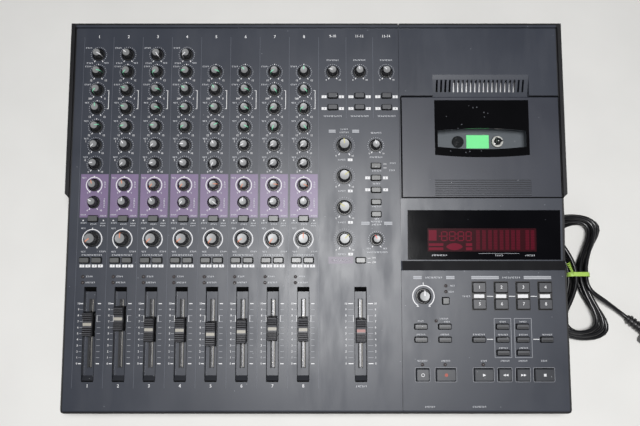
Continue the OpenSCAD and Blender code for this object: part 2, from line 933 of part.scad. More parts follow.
// Fader cap with its waist, and the lever down into the slide control
module fader(i) {
    foot = -recess_d + 1.2;
    color([0.2, 0.2, 0.22])
        on_panel()
            translate([fader_u(i), fader_v + fader_rest[i], 0]) {
                rotate([90, 0, 90])
                    translate([0, 0, -fader_cap_w / 2])
                        linear_extrude(fader_cap_w)
                            polygon([[-fader_cap_l / 2, foot], [fader_cap_l / 2, foot],
                                [fader_cap_l / 2 - 1.2, fader_cap_h - 1], [fader_cap_l / 2 - 3, fader_cap_h],
                                [2.4, fader_cap_h - 2.2], [-2.4, fader_cap_h - 2.2],
                                [-fader_cap_l / 2 + 3, fader_cap_h],
                                [-fader_cap_l / 2 + 1.2, fader_cap_h - 1]]);
                translate([-lever_t / 2, -lever_l / 2, board_w + 1.3])
                    cube([lever_t, lever_l, foot - board_w - 1]);
            }
}

// Button cap with a stem down to just above its switch
module button(p, size, h, travel) {
    lip = 0.8;
    on_panel() {
        block(size, p, -cover_t - 0.8, h - 0.6);
        block([size[0] - 2 * lip, size[1] - 2 * lip], p, h - 0.7, h);
        block([stem_w, stem_w], p, board_w + switch_h + travel + press_gap, -cover_t);
    }
}

// Push switches soldered to a board under the buttons
module switches(places) {
    for (p = places)
        block([switch_w, switch_w], p, board_w - 0.5, board_w + switch_h);
}

module flip_buttons() {
    color([0.62, 0.62, 0.66])
        for (p = flip_places())
            button(p, flip_button, button_h, button_travel);
}

module assign_buttons() {
    color([0.55, 0.56, 0.6])
        for (p = assign_places())
            button(p, small_button, button_h, button_travel);
}

module stereo_in_buttons() {
    color([0.45, 0.46, 0.5])
        for (p = stereo_places())
            button(p, small_button, button_h, button_travel);
}

module monitor_buttons() {
    color([0.6, 0.6, 0.64])
        for (p = select_places())
            button(p, small_button, button_h, button_travel);
}

module rec_select_keys() {
    color([0.33, 0.34, 0.38])
        for (p = rec_places())
            button(p, rec_size, button_h, button_travel);
}

module locate_buttons() {
    color([0.33, 0.34, 0.38]) {
        for (p = locate_places())
            button(p, locate_size, button_h, button_travel);
        button(set_place(), set_button, button_h, button_travel);
    }
}

module transport_key(i) {
    color([0.3, 0.31, 0.34])
        button(transport_places()[i], [transport_w[i], transport_l], key_h, key_travel);
}

module indicator_lamps() {
    color([0.45, 0.1, 0.1])
        on_panel()
            for (p = concat(strip_lamps(), deck_lamps()))
                at_panel(p, board_w)
                    cylinder(r = lamp_r, h = -board_w + 0.4);
}

module display_lens() {
    color([0.05, 0.05, 0.07])
        on_display()
            translate([deck_u - lens_w / 2, lens_v, -lens_t])
                cube([lens_w, lens_l, lens_t]);
}

module display_tube() {
    color([0.35, 0.05, 0.12])
        on_display() {
            translate([deck_u - tube_w / 2 + 0.5, tube_v + 0.5, -lens_t - 0.3 - tube_t])
                cube([tube_w - 1, tube_l - 1, tube_t]);
            translate([deck_u - tube_w / 2 - tube_lip, tube_v - tube_lip, -cover_t - 1 - tube_t])
                cube([tube_w + 2 * tube_lip, tube_l + 2 * tube_lip, tube_t - 0.5]);
        }
}

// Outline of the lid window with its bowed front edge
module window_outline(inset) {
    half = window_w / 2 - inset;
    v0 = window_v + inset;
    v1 = window_top_v - inset;
    bow = 2.5;
    bow_r = (half * half + bow * bow) / (2 * bow);
    translate([-half, v0])
        square([2 * half, v1 - v0]);
    intersection() {
        translate([0, v0 - bow + bow_r])
            circle(bow_r, $fn = 200);
        translate([-half, v0 - bow])
            square([2 * half, bow + 1]);
    }
}

window_v = lid_v + 44.5;
window_top_v = lid_back_v - 4;
window_gap = 0.15;
window_lip = 2;
grip_w = 100;
grip_l = 18;
grip_count = 8;

module lid() {
    u0 = lid_left_u + lid_gap;
    u1 = lid_right_u - lid_gap;
    v0 = lid_v + lid_gap;
    v1 = lid_back_v - lid_gap;
    turn_cut = 0.3 * lid_t;
    color([0.27, 0.28, 0.31])
        on_panel()
            difference() {
                union() {
                    translate([u0, 0, 0])
                        rotate([90, 0, 90])
                            linear_extrude(u1 - u0)
                                polygon([[v0, -lid_t], [v1, -lid_t], [v1, -turn_cut], [v1 - turn_cut, 0],
                                    [v0, 0]]);
                    translate([u0 - pin_l, pin_v, pin_w])
                        rotate([0, 90, 0])
                            cylinder(r = lid_pin_r, h = u1 - u0 + 2 * pin_l);
                    for (u = [u0 + 3, u1 - 5])
                        translate([u, v0 + 4, -lid_t - 4])
                            cube([2, v1 - v0 - 16, 4.5]);
                    translate([u0 + 3, v0 + 3, -lid_t - 4])
                        cube([u1 - u0 - 6, 2, 4.5]);
                }
                translate([deck_u, 0, -window_t - 0.3])
                    linear_extrude(lid_t)
                        window_outline(0);
                translate([deck_u, 0, -lid_t - 1])
                    linear_extrude(lid_t)
                        window_outline(window_lip);
                for (i = [0:grip_count - 1])
                    translate([deck_u - grip_w / 2, v0 + 1.2 + i * grip_l / grip_count, -0.8])
                        cube([grip_w, 1, 1]);
            }
}

module lid_window() {
    color([0.1, 0.1, 0.12, 0.8])
        on_panel()
            translate([deck_u, 0, -window_t - 0.3])
                linear_extrude(window_t)
                    window_outline(window_gap);
}

module cassette_well() {
    u0 = lid_left_u + well_inset;
    u1 = lid_right_u - well_inset;
    v0 = lid_v + well_inset;
    v1 = lid_back_v - well_inset;
    low = -well_floor - well_t;
    color([0.22, 0.24, 0.26])
        on_panel()
            difference() {
                union() {
                    difference() {
                        translate([u0, v0, low])
                            cube([u1 - u0, v1 - v0, well_top - low]);
                        translate([u0 + well_wall, v0 + well_wall, -well_floor])
                            cube([u1 - u0 - 2 * well_wall, v1 - v0 - 2 * well_wall, well_floor]);
                    }
                    for (s = [-1, 1])
                        translate([deck_u + s * (guide_u + 1) - 1, hub_v - guide_front, low + 0.5])
                            cube([2, guide_l, well_t + guide_h]);
                    for (s = [-1, 1])
                        translate([deck_u + s * (carriage_w / 2 + lever_gap + 1) - 1, carriage_v - 3,
                            low + 0.5])
                            cube([2, 20, well_t + 2.5]);
                }
                for (s = [-1, 1])
                    at_panel(hub_place(s), low - 1)
                        cylinder(r = hub_r + hub_hole_gap, h = well_t + 2);
                at_panel(capstan_place(), low - 1)
                    cylinder(r = capstan_r + 1, h = well_t + 2);
            }
}

guide_u = 51;
guide_front = 26;
guide_l = 58;
guide_h = 8;
carriage_w = 60;
carriage_l = 13;
carriage_t = 1.5;
head_size = [14, 10, 9];
erase_size = [10, 8, 8];
erase_u = 26;
roller_r = 6;
roller_h = 8;
roller_at = [24, 6];
plate_size = [24, 14.4];
plate_t = 1.2;
flange_h = 2;
post_r = 3;
post_h = 9;
fin_size = [4.6, 1.4, 7.5];
gear_r = 11;
gear_t = 3;
gear_drop = 5.5;
chassis_size = [124, 92];
chassis_v = hub_v - 5.5;
stand_r = 4;
stand_in = 6;
stand_dv = [-42, 38];
stand_at = [for (s = [-1, 1]) for (d = stand_dv)
    [deck_u + s * (chassis_size[0] / 2 - stand_in), chassis_v + d]];
foot_inset = 8;
foot_dv = [-36, 24];
chassis_feet = [for (s = [-1, 1]) for (d = foot_dv)
    [deck_u + s * (chassis_size[0] / 2 - foot_inset), chassis_v + d]];
bush_r = 5;
bush_h = 6;
motor_r = 16;
motor_l = 24;
spindle_r = 3;
spindle_l = 7;
flywheel_t = 6;

module green_plate() {
    color([0.45, 0.95, 0.6])
        on_panel()
            block(plate_size, [deck_u, hub_v], -well_floor, -well_floor + plate_t);
}

// Cassette hub: flange, three drive fins, drive gear and the shaft down to the chassis
module hub(side) {
    on_panel()
        at_panel(hub_place(side)) {
            translate([0, 0, -well_floor])
                cylinder(r = hub_r, h = flange_h);
            translate([0, 0, -well_floor + flange_h / 2])
                cylinder(r = post_r, h = post_h);
            for (a = [0, 120, 240])
                rotate(a)
                    translate([0, -fin_size[1] / 2, -well_floor + flange_h / 2])
                        cube(fin_size);
            translate([0, 0, -well_floor - gear_drop])
                cylinder(r = gear_r, h = gear_t);
            translate([0, 0, chassis_w - chassis_t])
                cylinder(r = hub_shaft_r, h = chassis_t - chassis_w - well_floor + 0.5);
        }
}

module supply_hub() {
    color([0.12, 0.12, 0.13])
        hub(-1);
}

module takeup_hub() {
    color([0.85, 0.85, 0.83])
        hub(1);
}

// Sliding plate with the tape heads and the pinch roller
module head_carriage() {
    low = -well_floor + 0.1;
    color([0.7, 0.7, 0.72])
        on_panel()
            translate([deck_u, carriage_v, low]) {
                translate([-carriage_w / 2, 0, 0])
                    cube([carriage_w, carriage_l, carriage_t]);
                translate([-head_size[0] / 2, carriage_l - head_size[1], carriage_t / 2])
                    cube(head_size);
                translate([-erase_u, carriage_l - 1 - erase_size[1], carriage_t / 2])
                    cube(erase_size);
                translate([roller_at[0], roller_at[1], carriage_t / 2])
                    cylinder(r = capstan_r, h = roller_h + 3);
                translate([roller_at[0], roller_at[1], carriage_t + 1])
                    cylinder(r = roller_r, h = roller_h);
            }
}

module deck_chassis() {
    low = chassis_w - chassis_t;
    color([0.6, 0.6, 0.62])
        on_panel()
            difference() {
                union() {
                    block(chassis_size, [deck_u, chassis_v], low, chassis_w);
                    for (s = [-1, 1])
                        at_panel(hub_place(s), chassis_w - 0.5)
                            cylinder(r = bush_r, h = bush_h);
                    for (p = stand_at)
                        at_panel(p, chassis_w - 0.5)
                            cylinder(r = stand_r, h = -well_floor - well_t - chassis_w + 0.5);
                    at_panel(capstan_place(), chassis_w - 0.5)
                        cylinder(r = bush_r, h = bush_h + 2);
                }
                for (s = [-1, 1])
                    at_panel(hub_place(s), low - 1)
                        cylinder(r = hub_shaft_r + run_gap, h = chassis_t + bush_h + 4);
                at_panel(capstan_place(), low - 1)
                    cylinder(r = capstan_r + run_gap, h = chassis_t + bush_h + 6);
                at_panel(motor_place(), low - 1)
                    cylinder(r = 2 * spindle_r, h = chassis_t + 2);
            }
}

motor_at = [-32, -19.5];
function motor_place() = [deck_u + motor_at[0], hub_v + motor_at[1]];

// Motor under the chassis, with its drive spindle
module drive_motor() {
    color([0.4, 0.4, 0.42])
        on_panel()
            at_panel(motor_place(), chassis_w - chassis_t - motor_l) {
                cylinder(r = motor_r, h = motor_l);
                translate([0, 0, motor_l - 1])
                    cylinder(r = spindle_r, h = spindle_l + 1);
            }
}

module flywheel() {
    under = chassis_w - chassis_t;
    color([0.75, 0.66, 0.4])
        on_panel()
            at_panel(capstan_place()) {
                translate([0, 0, under - 0.5 - flywheel_t])
                    cylinder(r = flywheel_r, h = flywheel_t);
                translate([0, 0, under - 4])
                    cylinder(r = capstan_r, h = capstan_top - under + 4);
            }
}

capstan_top = -12;

// Phone socket: bushing through a wall and a body behind it, mouth at the origin along -Y
module phone_socket(out_r, bush_l, body) {
    rotate([-90, 0, 0])
        difference() {
            union() {
                cylinder(r = out_r, h = bush_l + 1);
                translate([-body[0] / 2, -body[1] / 2, bush_l])
                    cube([body[0], body[1], socket_l + 2 - bush_l]);
            }
            translate([0, 0, -1])
                cylinder(r = socket_r, h = socket_l + 1);
        }
}

module socket_jacks() {
    color([0.12, 0.12, 0.13]) {
        for (u = front_socket_u)
            translate([seam_u + u, -half_d, front_socket_z])
                phone_socket(socket_out_r, wall, front_jack);
        for (p = phone_at)
            translate([p[0], half_d - 0.5, p[1]])
                rotate([0, 0, 180])
                    phone_socket(phone_r, panel_gap + panel_t - 0.5, rear_jack);
        for (row = pin_at)
            for (p = row)
                translate([p[0], half_d - 0.5, p[1]])
                    rotate([90, 0, 0])
                        pin_socket();
    }
}

// Pin socket: outer sleeve with its middle hole, and a flange behind the rear plate
module pin_socket() {
    difference() {
        union() {
            cylinder(r = pin_jack_r, h = panel_gap + panel_t);
            translate([-pin_body[0] / 2, -pin_body[1] / 2, panel_gap + panel_t - 0.5])
                cube(pin_body);
        }
        translate([0, 0, -1])
            cylinder(r = pin_hole_r, h = 8);
    }
}

module cord_gland() {
    color([0.06, 0.06, 0.06])
        translate([gland_at[0], rear_y, gland_at[1]])
            rotate([-90, 0, 0])
                cylinder(r1 = gland_r[0], r2 = gland_r[1], h = gland_l);
}

// Smooth curve through the points p, at segment i and fraction t
function curve_at(p, i, t) =
    let (a = p[max(i - 1, 0)], b = p[i], c = p[i + 1], d = p[min(i + 2, len(p) - 1)])
    0.5 * ((2 * b) + (c - a) * t + (2 * a - 5 * b + 4 * c - d) * t * t + (3 * b - a - 3 * c + d) * t * t * t);
function curve(p, n) = concat(
    [for (i = [0:len(p) - 2]) for (k = [0:n - 1]) curve_at(p, i, k / n)],
    [p[len(p) - 1]]);

function unit(a) = a / norm(a);
// Direction of a path at ring i, held at its ends
function heading(path, i) = unit(path[min(i + 1, len(path) - 1)] - path[max(i - 1, 0)]);
// Ring of points round a path point
function ring(at, dir, r, n) =
    let (side = unit(cross(dir, [0, 0, 1])), over = cross(side, dir))
    [for (k = [0:n - 1]) at + r * (cos(360 * k / n) * side + sin(360 * k / n) * over)];
function ring_points(path, first, last, r, n) = [for (i = [0:len(path) - 1])
    each ring(path[i], i == 0 ? first : i == len(path) - 1 ? last : heading(path, i), r, n)];
function side_faces(m, n) = [for (i = [0:m - 2]) for (k = [0:n - 1])
    each [[i * n + k, (i + 1) * n + k, (i + 1) * n + (k + 1) % n],
        [i * n + k, (i + 1) * n + (k + 1) % n, i * n + (k + 1) % n]]];
function cap_faces(m, n) = concat(
    [for (k = [1:n - 2]) [0, k, k + 1]],
    [for (k = [1:n - 2]) [(m - 1) * n, (m - 1) * n + k + 1, (m - 1) * n + k]]);

// Closed tube along a path, with square ends along first and last
module tube(path, first, last, r, n) {
    polyhedron(ring_points(path, first, last, r, n),
        concat(side_faces(len(path), n), cap_faces(len(path), n)));
}

// Hank: loops drawn in at the waist, spiralling in and out, each layer leaning over the one below
hank_base = 60.8;
hank_grow = 5.4;
hank_waist = 1.35;
hank_step = 5.4;
hank_lobe = 39.2;
hank_fan = 12.9;
hank_bow = 9.6;
hank_lean = 4.7;
climb_half = 0.29;
reversals = [1.25, 2.75, 4.25];

function hank_s(t) = t < 1.25 ? 1.25 - t : t < 2.75 ? t - 1.25 : t < 4.25 ? 4.25 - t : t - 4.25;
function ease(x) = let (y = min(max(x, 0), 1)) y * y * (3 - 2 * y);
function sum_of(list, i = 0) = i < len(list) ? list[i] + sum_of(list, i + 1) : 0;
function hank_level(t) = sum_of([for (c = reversals) ease((t - c + climb_half) / (2 * climb_half))]);
function hank_at_turn(t) =
    let (a = 360 * t, s = hank_s(t), level = hank_level(t), open = pow(cos(a), 2))
    let (waist = hank_waist + s * hank_step, lobe = hank_lobe + s * hank_fan)
    [hank_at[0] + sin(a) * (waist + lobe * open) + (hank_bow - hank_lean * level) * open,
        hank_at[1] + (hank_base + s * hank_grow) * cos(a),
        cord_r + 0.2 + level * hank_layer + hank_lift * pow(sin(a), 4)];
hank_count = floor(hank_turns * hank_steps);
function hank_loops() = [for (i = [0:hank_count]) hank_at_turn(i / hank_steps)];
hank_in = [1, 0, 0];
hank_out = [0, -1, 0];
function hank_path() = let (p = hank_loops())
    concat([p[0] - cord_d * hank_in], p, [p[hank_count] + cord_d * hank_out]);
function hank_end() = let (p = hank_path()) p[len(p) - 1];
function hank_gaps() = let (p = hank_loops())
    [for (i = [0:hank_count]) for (j = [i + 5:1:hank_count]) norm(p[i] - p[j]) - cord_d];

module cord_hank() {
    color([0.05, 0.05, 0.05])
        tube(hank_path(), hank_in, hank_out, cord_r, 6);
    echo(least_hank_gap = min(hank_gaps()));
}

module cord_runs() {
    gland_end = [gland_at[0], rear_y + gland_l, gland_at[1]];
    lead = curve(concat([gland_end], lead_points, [hank_path()[0]]), 3);
    end = hank_end();
    plug_dir = [cos(plug_turn), sin(plug_turn), 0];
    tail = curve(concat([end], tail_bend, [plug_at - 12 * plug_dir, plug_at]), 3);
    color([0.05, 0.05, 0.05]) {
        tube(lead, [0, 1, 0], hank_in, cord_r, 10);
        tube(tail, hank_out, plug_dir, cord_r, 10);
    }
}

// Band round the waist of the hank, with its two twisted ends
tie_low = 0.3;
tie_top = 23.6;
tie_t = 1;
tie_reach = [12.7, 10.1];
tie_end_r = 1.3;
tie_end_l = 15;

module cord_tie() {
    x0 = hank_at[0] - tie_reach[0];
    x1 = hank_at[0] + tie_reach[1];
    color([0.65, 0.78, 0.35]) {
        translate([0, hank_at[1] - tie_len / 2, 0])
            difference() {
                translate([x0 - tie_t, 0, tie_low])
                    cube([x1 - x0 + 2 * tie_t, tie_len, tie_top - tie_low + tie_t]);
                translate([x0, -1, tie_low + tie_t])
                    cube([x1 - x0, tie_len + 2, tie_top - tie_low - tie_t]);
            }
        translate([x0 + 4, hank_at[1], tie_top + 1.2])
            rotate([-80, 0, 24])
                cylinder(r = tie_end_r, h = tie_end_l);
    }
}

// Mains plug: ribbed relief, moulded body and two flat blades
relief_r = [3.6, 5];
relief_l = 24;
relief_rib_r = 5.2;
relief_ribs = 5;
relief_pitch = 4.4;
plug_body = [26, 24, 16];
blade_size = [19, 1.5, 6.4];
blade_gap = 12.7;

module mains_plug() {
    body_x = relief_l - 1;
    color([0.1, 0.1, 0.11])
        translate(plug_at)
            rotate([0, 0, plug_turn]) {
                rotate([0, 90, 0])
                    cylinder(r1 = relief_r[0], r2 = relief_r[1], h = relief_l);
                for (i = [0:relief_ribs - 1])
                    translate([3 + relief_pitch * i, 0, 0])
                        rotate([0, 90, 0])
                            cylinder(r = relief_rib_r, h = relief_pitch / 2);
                translate([body_x, -plug_body[1] / 2, -plug_body[2] / 2])
                    cube(plug_body);
                for (s = [-1, 1])
                    translate([body_x + plug_body[0] - 1, (s * blade_gap - blade_size[1]) / 2,
                        -blade_size[2] / 2])
                        cube(blade_size);
            }
}

bottom_case();
mixer_cover();
deck_cover();
rear_panel();
feet();
case_screws();
mixer_board();
deck_board();
transformer();
rotary_pots();
slide_pots();
channel_knobs();
pan_knobs();
big_knob(group_places()[0]);  // group_knob_1
big_knob(group_places()[1]);  // group_knob_2
big_knob(group_places()[2]);  // group_knob_3
big_knob(group_places()[3]);  // group_knob_4
small_knob(tape_in_place());  // tape_in_knob
small_knob(monitor_place());  // monitor_knob
big_knob(speed_place());  // speed_knob
fader(0);  // fader_1
fader(1);  // fader_2
fader(2);  // fader_3
fader(3);  // fader_4
fader(4);  // fader_5
fader(5);  // fader_6
fader(6);  // fader_7
fader(7);  // fader_8
fader(8);  // stereo_fader
flip_buttons();
assign_buttons();
stereo_in_buttons();
monitor_buttons();
rec_select_keys();
locate_buttons();
transport_key(0);  // return_key
transport_key(1);  // record_key
transport_key(2);  // play_key
transport_key(3);  // rewind_key
transport_key(4);  // forward_key
transport_key(5);  // stop_key
indicator_lamps();
display_lens();
display_tube();
lid();
lid_window();
cassette_well();
green_plate();
supply_hub();
takeup_hub();
head_carriage();
deck_chassis();
drive_motor();
flywheel();
socket_jacks();
cord_gland();
cord_runs();
cord_hank();
cord_tie();
mains_plug();
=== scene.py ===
from math import atan2, copysign, cos, degrees, pi, radians, sin

import bmesh
import bpy
from mathutils import Matrix, Vector


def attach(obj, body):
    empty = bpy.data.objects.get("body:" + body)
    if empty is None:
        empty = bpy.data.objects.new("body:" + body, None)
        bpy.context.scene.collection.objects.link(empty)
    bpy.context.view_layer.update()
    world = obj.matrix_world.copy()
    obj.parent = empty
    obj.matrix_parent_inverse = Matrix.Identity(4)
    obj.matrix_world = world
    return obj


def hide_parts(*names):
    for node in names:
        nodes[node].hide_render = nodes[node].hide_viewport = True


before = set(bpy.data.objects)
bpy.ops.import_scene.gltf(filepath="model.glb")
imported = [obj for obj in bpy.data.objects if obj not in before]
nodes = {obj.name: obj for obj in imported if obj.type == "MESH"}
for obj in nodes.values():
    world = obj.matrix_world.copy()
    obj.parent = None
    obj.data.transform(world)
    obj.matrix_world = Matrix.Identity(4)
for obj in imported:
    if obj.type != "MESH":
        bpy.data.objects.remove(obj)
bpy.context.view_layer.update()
scene = bpy.context.scene
mm = 0.001
one = (1, 1, 1)

# sloping top in millimetres: u across it, v from its front edge to the back, w out of it
panel = {
    "slope": radians(8),
    "length": 404,
    "frontHeight": 48,
    "pitch": 31,
    "firstStrip": -230,
    "deckMiddle": 173.25,
    "displayFront": 153,
    "displayDrop": 4,
    "displayLength": 64,
}
halfDepth = panel["length"] * cos(panel["slope"]) / 2
displayTilt = atan2(panel["displayDrop"], panel["displayLength"])


def shift(x, y, z=0):
    return Matrix.Translation((x * mm, y * mm, z * mm))


def spun(turn):
    return Matrix.Rotation(radians(turn), 4, "Z")


onPanel = shift(0, -halfDepth, panel["frontHeight"]) @ Matrix.Rotation(panel["slope"], 4, "X")
onDisplay = onPanel @ shift(0, panel["displayFront"], -panel["displayDrop"])
onDisplay = onDisplay @ Matrix.Rotation(displayTilt, 4, "X")
faces = {"panel": (onPanel, panel["slope"]), "display": (onDisplay, panel["slope"] + displayTilt)}
strips = [panel["firstStrip"] + panel["pitch"] * i for i in range(8)]


def at(u, v, w=0, face="panel"):
    return faces[face][0] @ (Vector((u, v, w)) * mm)


def linear(*colour):
    shares = [c / 255 for c in colour]
    return tuple(c / 12.92 if c <= 0.04045 else ((c + 0.055) / 1.055) ** 2.4 for c in shares) + (1,)


# camera
cameraSettings = {"place": (0.004, -0.1796, 0.7756), "tilt": 14.41, "lens": 39.375, "sensor": 36}
cameraData = bpy.data.cameras.new("photoCamera")
cameraData.lens = cameraSettings["lens"]
cameraData.sensor_width = cameraSettings["sensor"]
camera = bpy.data.objects.new("photoCamera", cameraData)
camera.location = cameraSettings["place"]
camera.rotation_euler = (radians(cameraSettings["tilt"]), 0, 0)
scene.collection.objects.link(camera)
scene.camera = camera
print("camera set")


# node trees: an input takes a value or a link
def addNode(tree, kind, inputs, **settings):
    node = tree.nodes.new(kind)
    for label, value in settings.items():
        setattr(node, label, value)
    for key, value in inputs.items():
        if isinstance(value, bpy.types.NodeSocket):
            tree.links.new(value, node.inputs[key])
        else:
            node.inputs[key].default_value = value
    return node.outputs


def mathNode(tree, operation, *values):
    return addNode(tree, "ShaderNodeMath", dict(enumerate(values)), operation=operation)[0]


def rangeNode(tree, value, low, high, toLow, toHigh):
    limits = {"From Min": low, "From Max": high, "To Min": toLow, "To Max": toHigh}
    return addNode(tree, "ShaderNodeMapRange", {"Value": value, **limits})["Result"]


def noiseNode(tree, vector, scale, detail):
    return addNode(tree, "ShaderNodeTexNoise", {"Vector": vector, "Scale": scale, "Detail": detail})["Fac"]


def mixColours(tree, factor, a, b):
    return addNode(tree, "ShaderNodeMix", {0: factor, 6: a, 7: b}, data_type="RGBA")[2]


def newTree(name, kind, inputs, outputs):
    # inputs of (label, kind of socket, value)
    tree = bpy.data.node_groups.new(name, kind)
    sockets = {}
    for label, socketKind, value in inputs:
        socket = tree.interface.new_socket(label, in_out="INPUT", socket_type="NodeSocket" + socketKind)
        sockets[label] = socket.identifier
        if value is not None:
            socket.default_value = value
    for label, socketKind in outputs:
        tree.interface.new_socket(label, in_out="OUTPUT", socket_type="NodeSocket" + socketKind)
    return tree, tree.nodes.new("NodeGroupInput").outputs, tree.nodes.new("NodeGroupOutput").inputs, sockets


# shader groups shared by the materials
def shaderGroup(name, outputs, **values):
    inputs = [("Vector", "Vector", None)] + [(label, "Float", value) for label, value in values.items()]
    return newTree(name, "ShaderNodeTree", inputs, [(label, "Float") for label in outputs])[:3]


def buildGrain():
    # moulded grain and a broad cloud of tone
    group, start, end = shaderGroup("mouldedGrain", ["Height", "Tone"], Size=1500.0, Cloud=14.0)
    fine = noiseNode(group, start["Vector"], start["Size"], 2)
    broad = noiseNode(group, start["Vector"], start["Cloud"], 4)
    group.links.new(fine, end["Height"])
    group.links.new(rangeNode(group, broad, 0.3, 0.7, 0, 1), end["Tone"])
    return group


def buildDust():
    # small specks scattered over a surface: dust, and painted glints on the metal in the fader slots
    group, start, end = shaderGroup("dustSpecks", ["Mask"], Spread=300.0, Amount=0.1, Size=0.16)
    cells = addNode(group, "ShaderNodeTexVoronoi", {"Vector": start["Vector"], "Scale": start["Spread"]})
    split = addNode(group, "ShaderNodeSeparateColor", {"Color": cells["Color"]})
    inside = mathNode(group, "LESS_THAN", cells["Distance"], start["Size"])
    chosen = mathNode(group, "LESS_THAN", split["Red"], start["Amount"])
    group.links.new(mathNode(group, "MULTIPLY", inside, chosen), end["Mask"])
    return group


def buildRub():
    # faint rubbed streaks along one way
    group, start, end = shaderGroup("rubbedStreaks", ["Mask"], Along=30.0, Across=900.0)
    split = addNode(group, "ShaderNodeSeparateXYZ", {0: start["Vector"]})
    scales = enumerate(("Across", "Along", "Across"))
    stretched = {i: mathNode(group, "MULTIPLY", split[i], start[label]) for i, label in scales}
    streaks = noiseNode(group, addNode(group, "ShaderNodeCombineXYZ", stretched)[0], 1.0, 3)
    group.links.new(rangeNode(group, streaks, 0.45, 0.7, 0, 1), end["Mask"])
    return group


# where the painted shade on the edges of the case begins, in metres, and the v of the deck's step, also
# painted dark
edgeShadeSettings = {"side": 0.2541, "back": 0.1981, "front": -0.1978, "deck": 0.0885, "stepV": 143.3}


def buildRim():
    # edges of the case and the step of the deck, painted black as shade
    s = edgeShadeSettings
    group, start, end = shaderGroup("caseEdges", ["Mask"])
    split = addNode(group, "ShaderNodeSeparateXYZ", {0: start["Vector"]})
    x, y = split[0], split[1]
    stepEnd = at(0, panel["displayFront"], -panel["displayDrop"]).y
    side = mathNode(group, "GREATER_THAN", mathNode(group, "ABSOLUTE", x), s["side"])
    back = mathNode(group, "GREATER_THAN", y, s["back"])
    front = mathNode(group, "LESS_THAN", y, s["front"])
    beyond = mathNode(group, "GREATER_THAN", y, at(0, s["stepV"]).y)
    before = mathNode(group, "LESS_THAN", y, stepEnd)
    deck = mathNode(group, "GREATER_THAN", x, s["deck"])
    step = mathNode(group, "MULTIPLY", mathNode(group, "MULTIPLY", beyond, before), deck)
    edges = mathNode(group, "MAXIMUM", mathNode(group, "MAXIMUM", side, back), front)
    group.links.new(mathNode(group, "MAXIMUM", edges, step), end["Mask"])
    return group


groups = {"grain": buildGrain(), "dust": buildDust(), "rub": buildRub(), "rim": buildRim()}


def useGroup(tree, key, place, **values):
    return addNode(tree, "ShaderNodeGroup", {"Vector": place, **values}, node_tree=groups[key])


def shade(colour, factor):
    return tuple(c * factor for c in colour[:3]) + (1,)


surface = {"streakLift": 1.7, "roughSwing": 0.04, "wipeAlong": 14, "wipeAcross": 75, "bumpDistance": 0.0001}


def plastic(name, colour, rough=0.5, grain=1500, bump=0.2, cloud=0.12, dust=0.0, dustSpread=260,
            dustColour=(170, 172, 175), gloss=0.5, coat=0.0, metal=0.0, rub=0.0, smear=0.0, edge=None,
            glow=None, alpha=None):
    material = bpy.data.materials.new(name)
    material.use_nodes = True
    tree = material.node_tree
    shader = next(n for n in tree.nodes if n.type == "BSDF_PRINCIPLED").inputs
    place = tree.nodes.new("ShaderNodeTexCoord").outputs["Object"]
    grains = useGroup(tree, "grain", place, Size=grain)
    base = linear(*colour)
    tint = mixColours(tree, grains["Tone"], shade(base, 1 - cloud), shade(base, 1 + cloud))
    if rub:
        streak = mathNode(tree, "MULTIPLY", useGroup(tree, "rub", place)["Mask"], rub)
        tint = mixColours(tree, streak, tint, shade(base, surface["streakLift"]))
    if dust:
        specks = useGroup(tree, "dust", place, Spread=dustSpread, Amount=dust)
        tint = mixColours(tree, specks["Mask"], tint, linear(*dustColour))
    # the edges of the case and the deck's step take the edge colour as painted shade
    if edge:
        tint = mixColours(tree, useGroup(tree, "rim", place)["Mask"], tint, linear(*edge))
    tree.links.new(tint, shader["Base Color"])
    swing = surface["roughSwing"]
    dull = rangeNode(tree, grains["Tone"], 0, 1, max(rough - swing, 0.02), min(rough + swing, 1))
    if smear:
        wipe = useGroup(tree, "rub", place, Along=surface["wipeAlong"], Across=surface["wipeAcross"])
        dull = mathNode(tree, "ADD", dull, mathNode(tree, "MULTIPLY", wipe["Mask"], smear))
    tree.links.new(dull, shader["Roughness"])
    lump = {"Strength": bump, "Distance": surface["bumpDistance"], "Height": grains["Height"]}
    tree.links.new(addNode(tree, "ShaderNodeBump", lump)["Normal"], shader["Normal"])
    values = {"Metallic": metal, "Specular IOR Level": gloss, "Coat Weight": coat, "Coat Roughness": 0.05}
    if glow:
        tree.links.new(tint, shader["Emission Color"])
        values["Emission Strength"] = glow
    if alpha:
        values["Alpha"] = alpha
    for label, value in values.items():
        shader[label].default_value = value
    return material
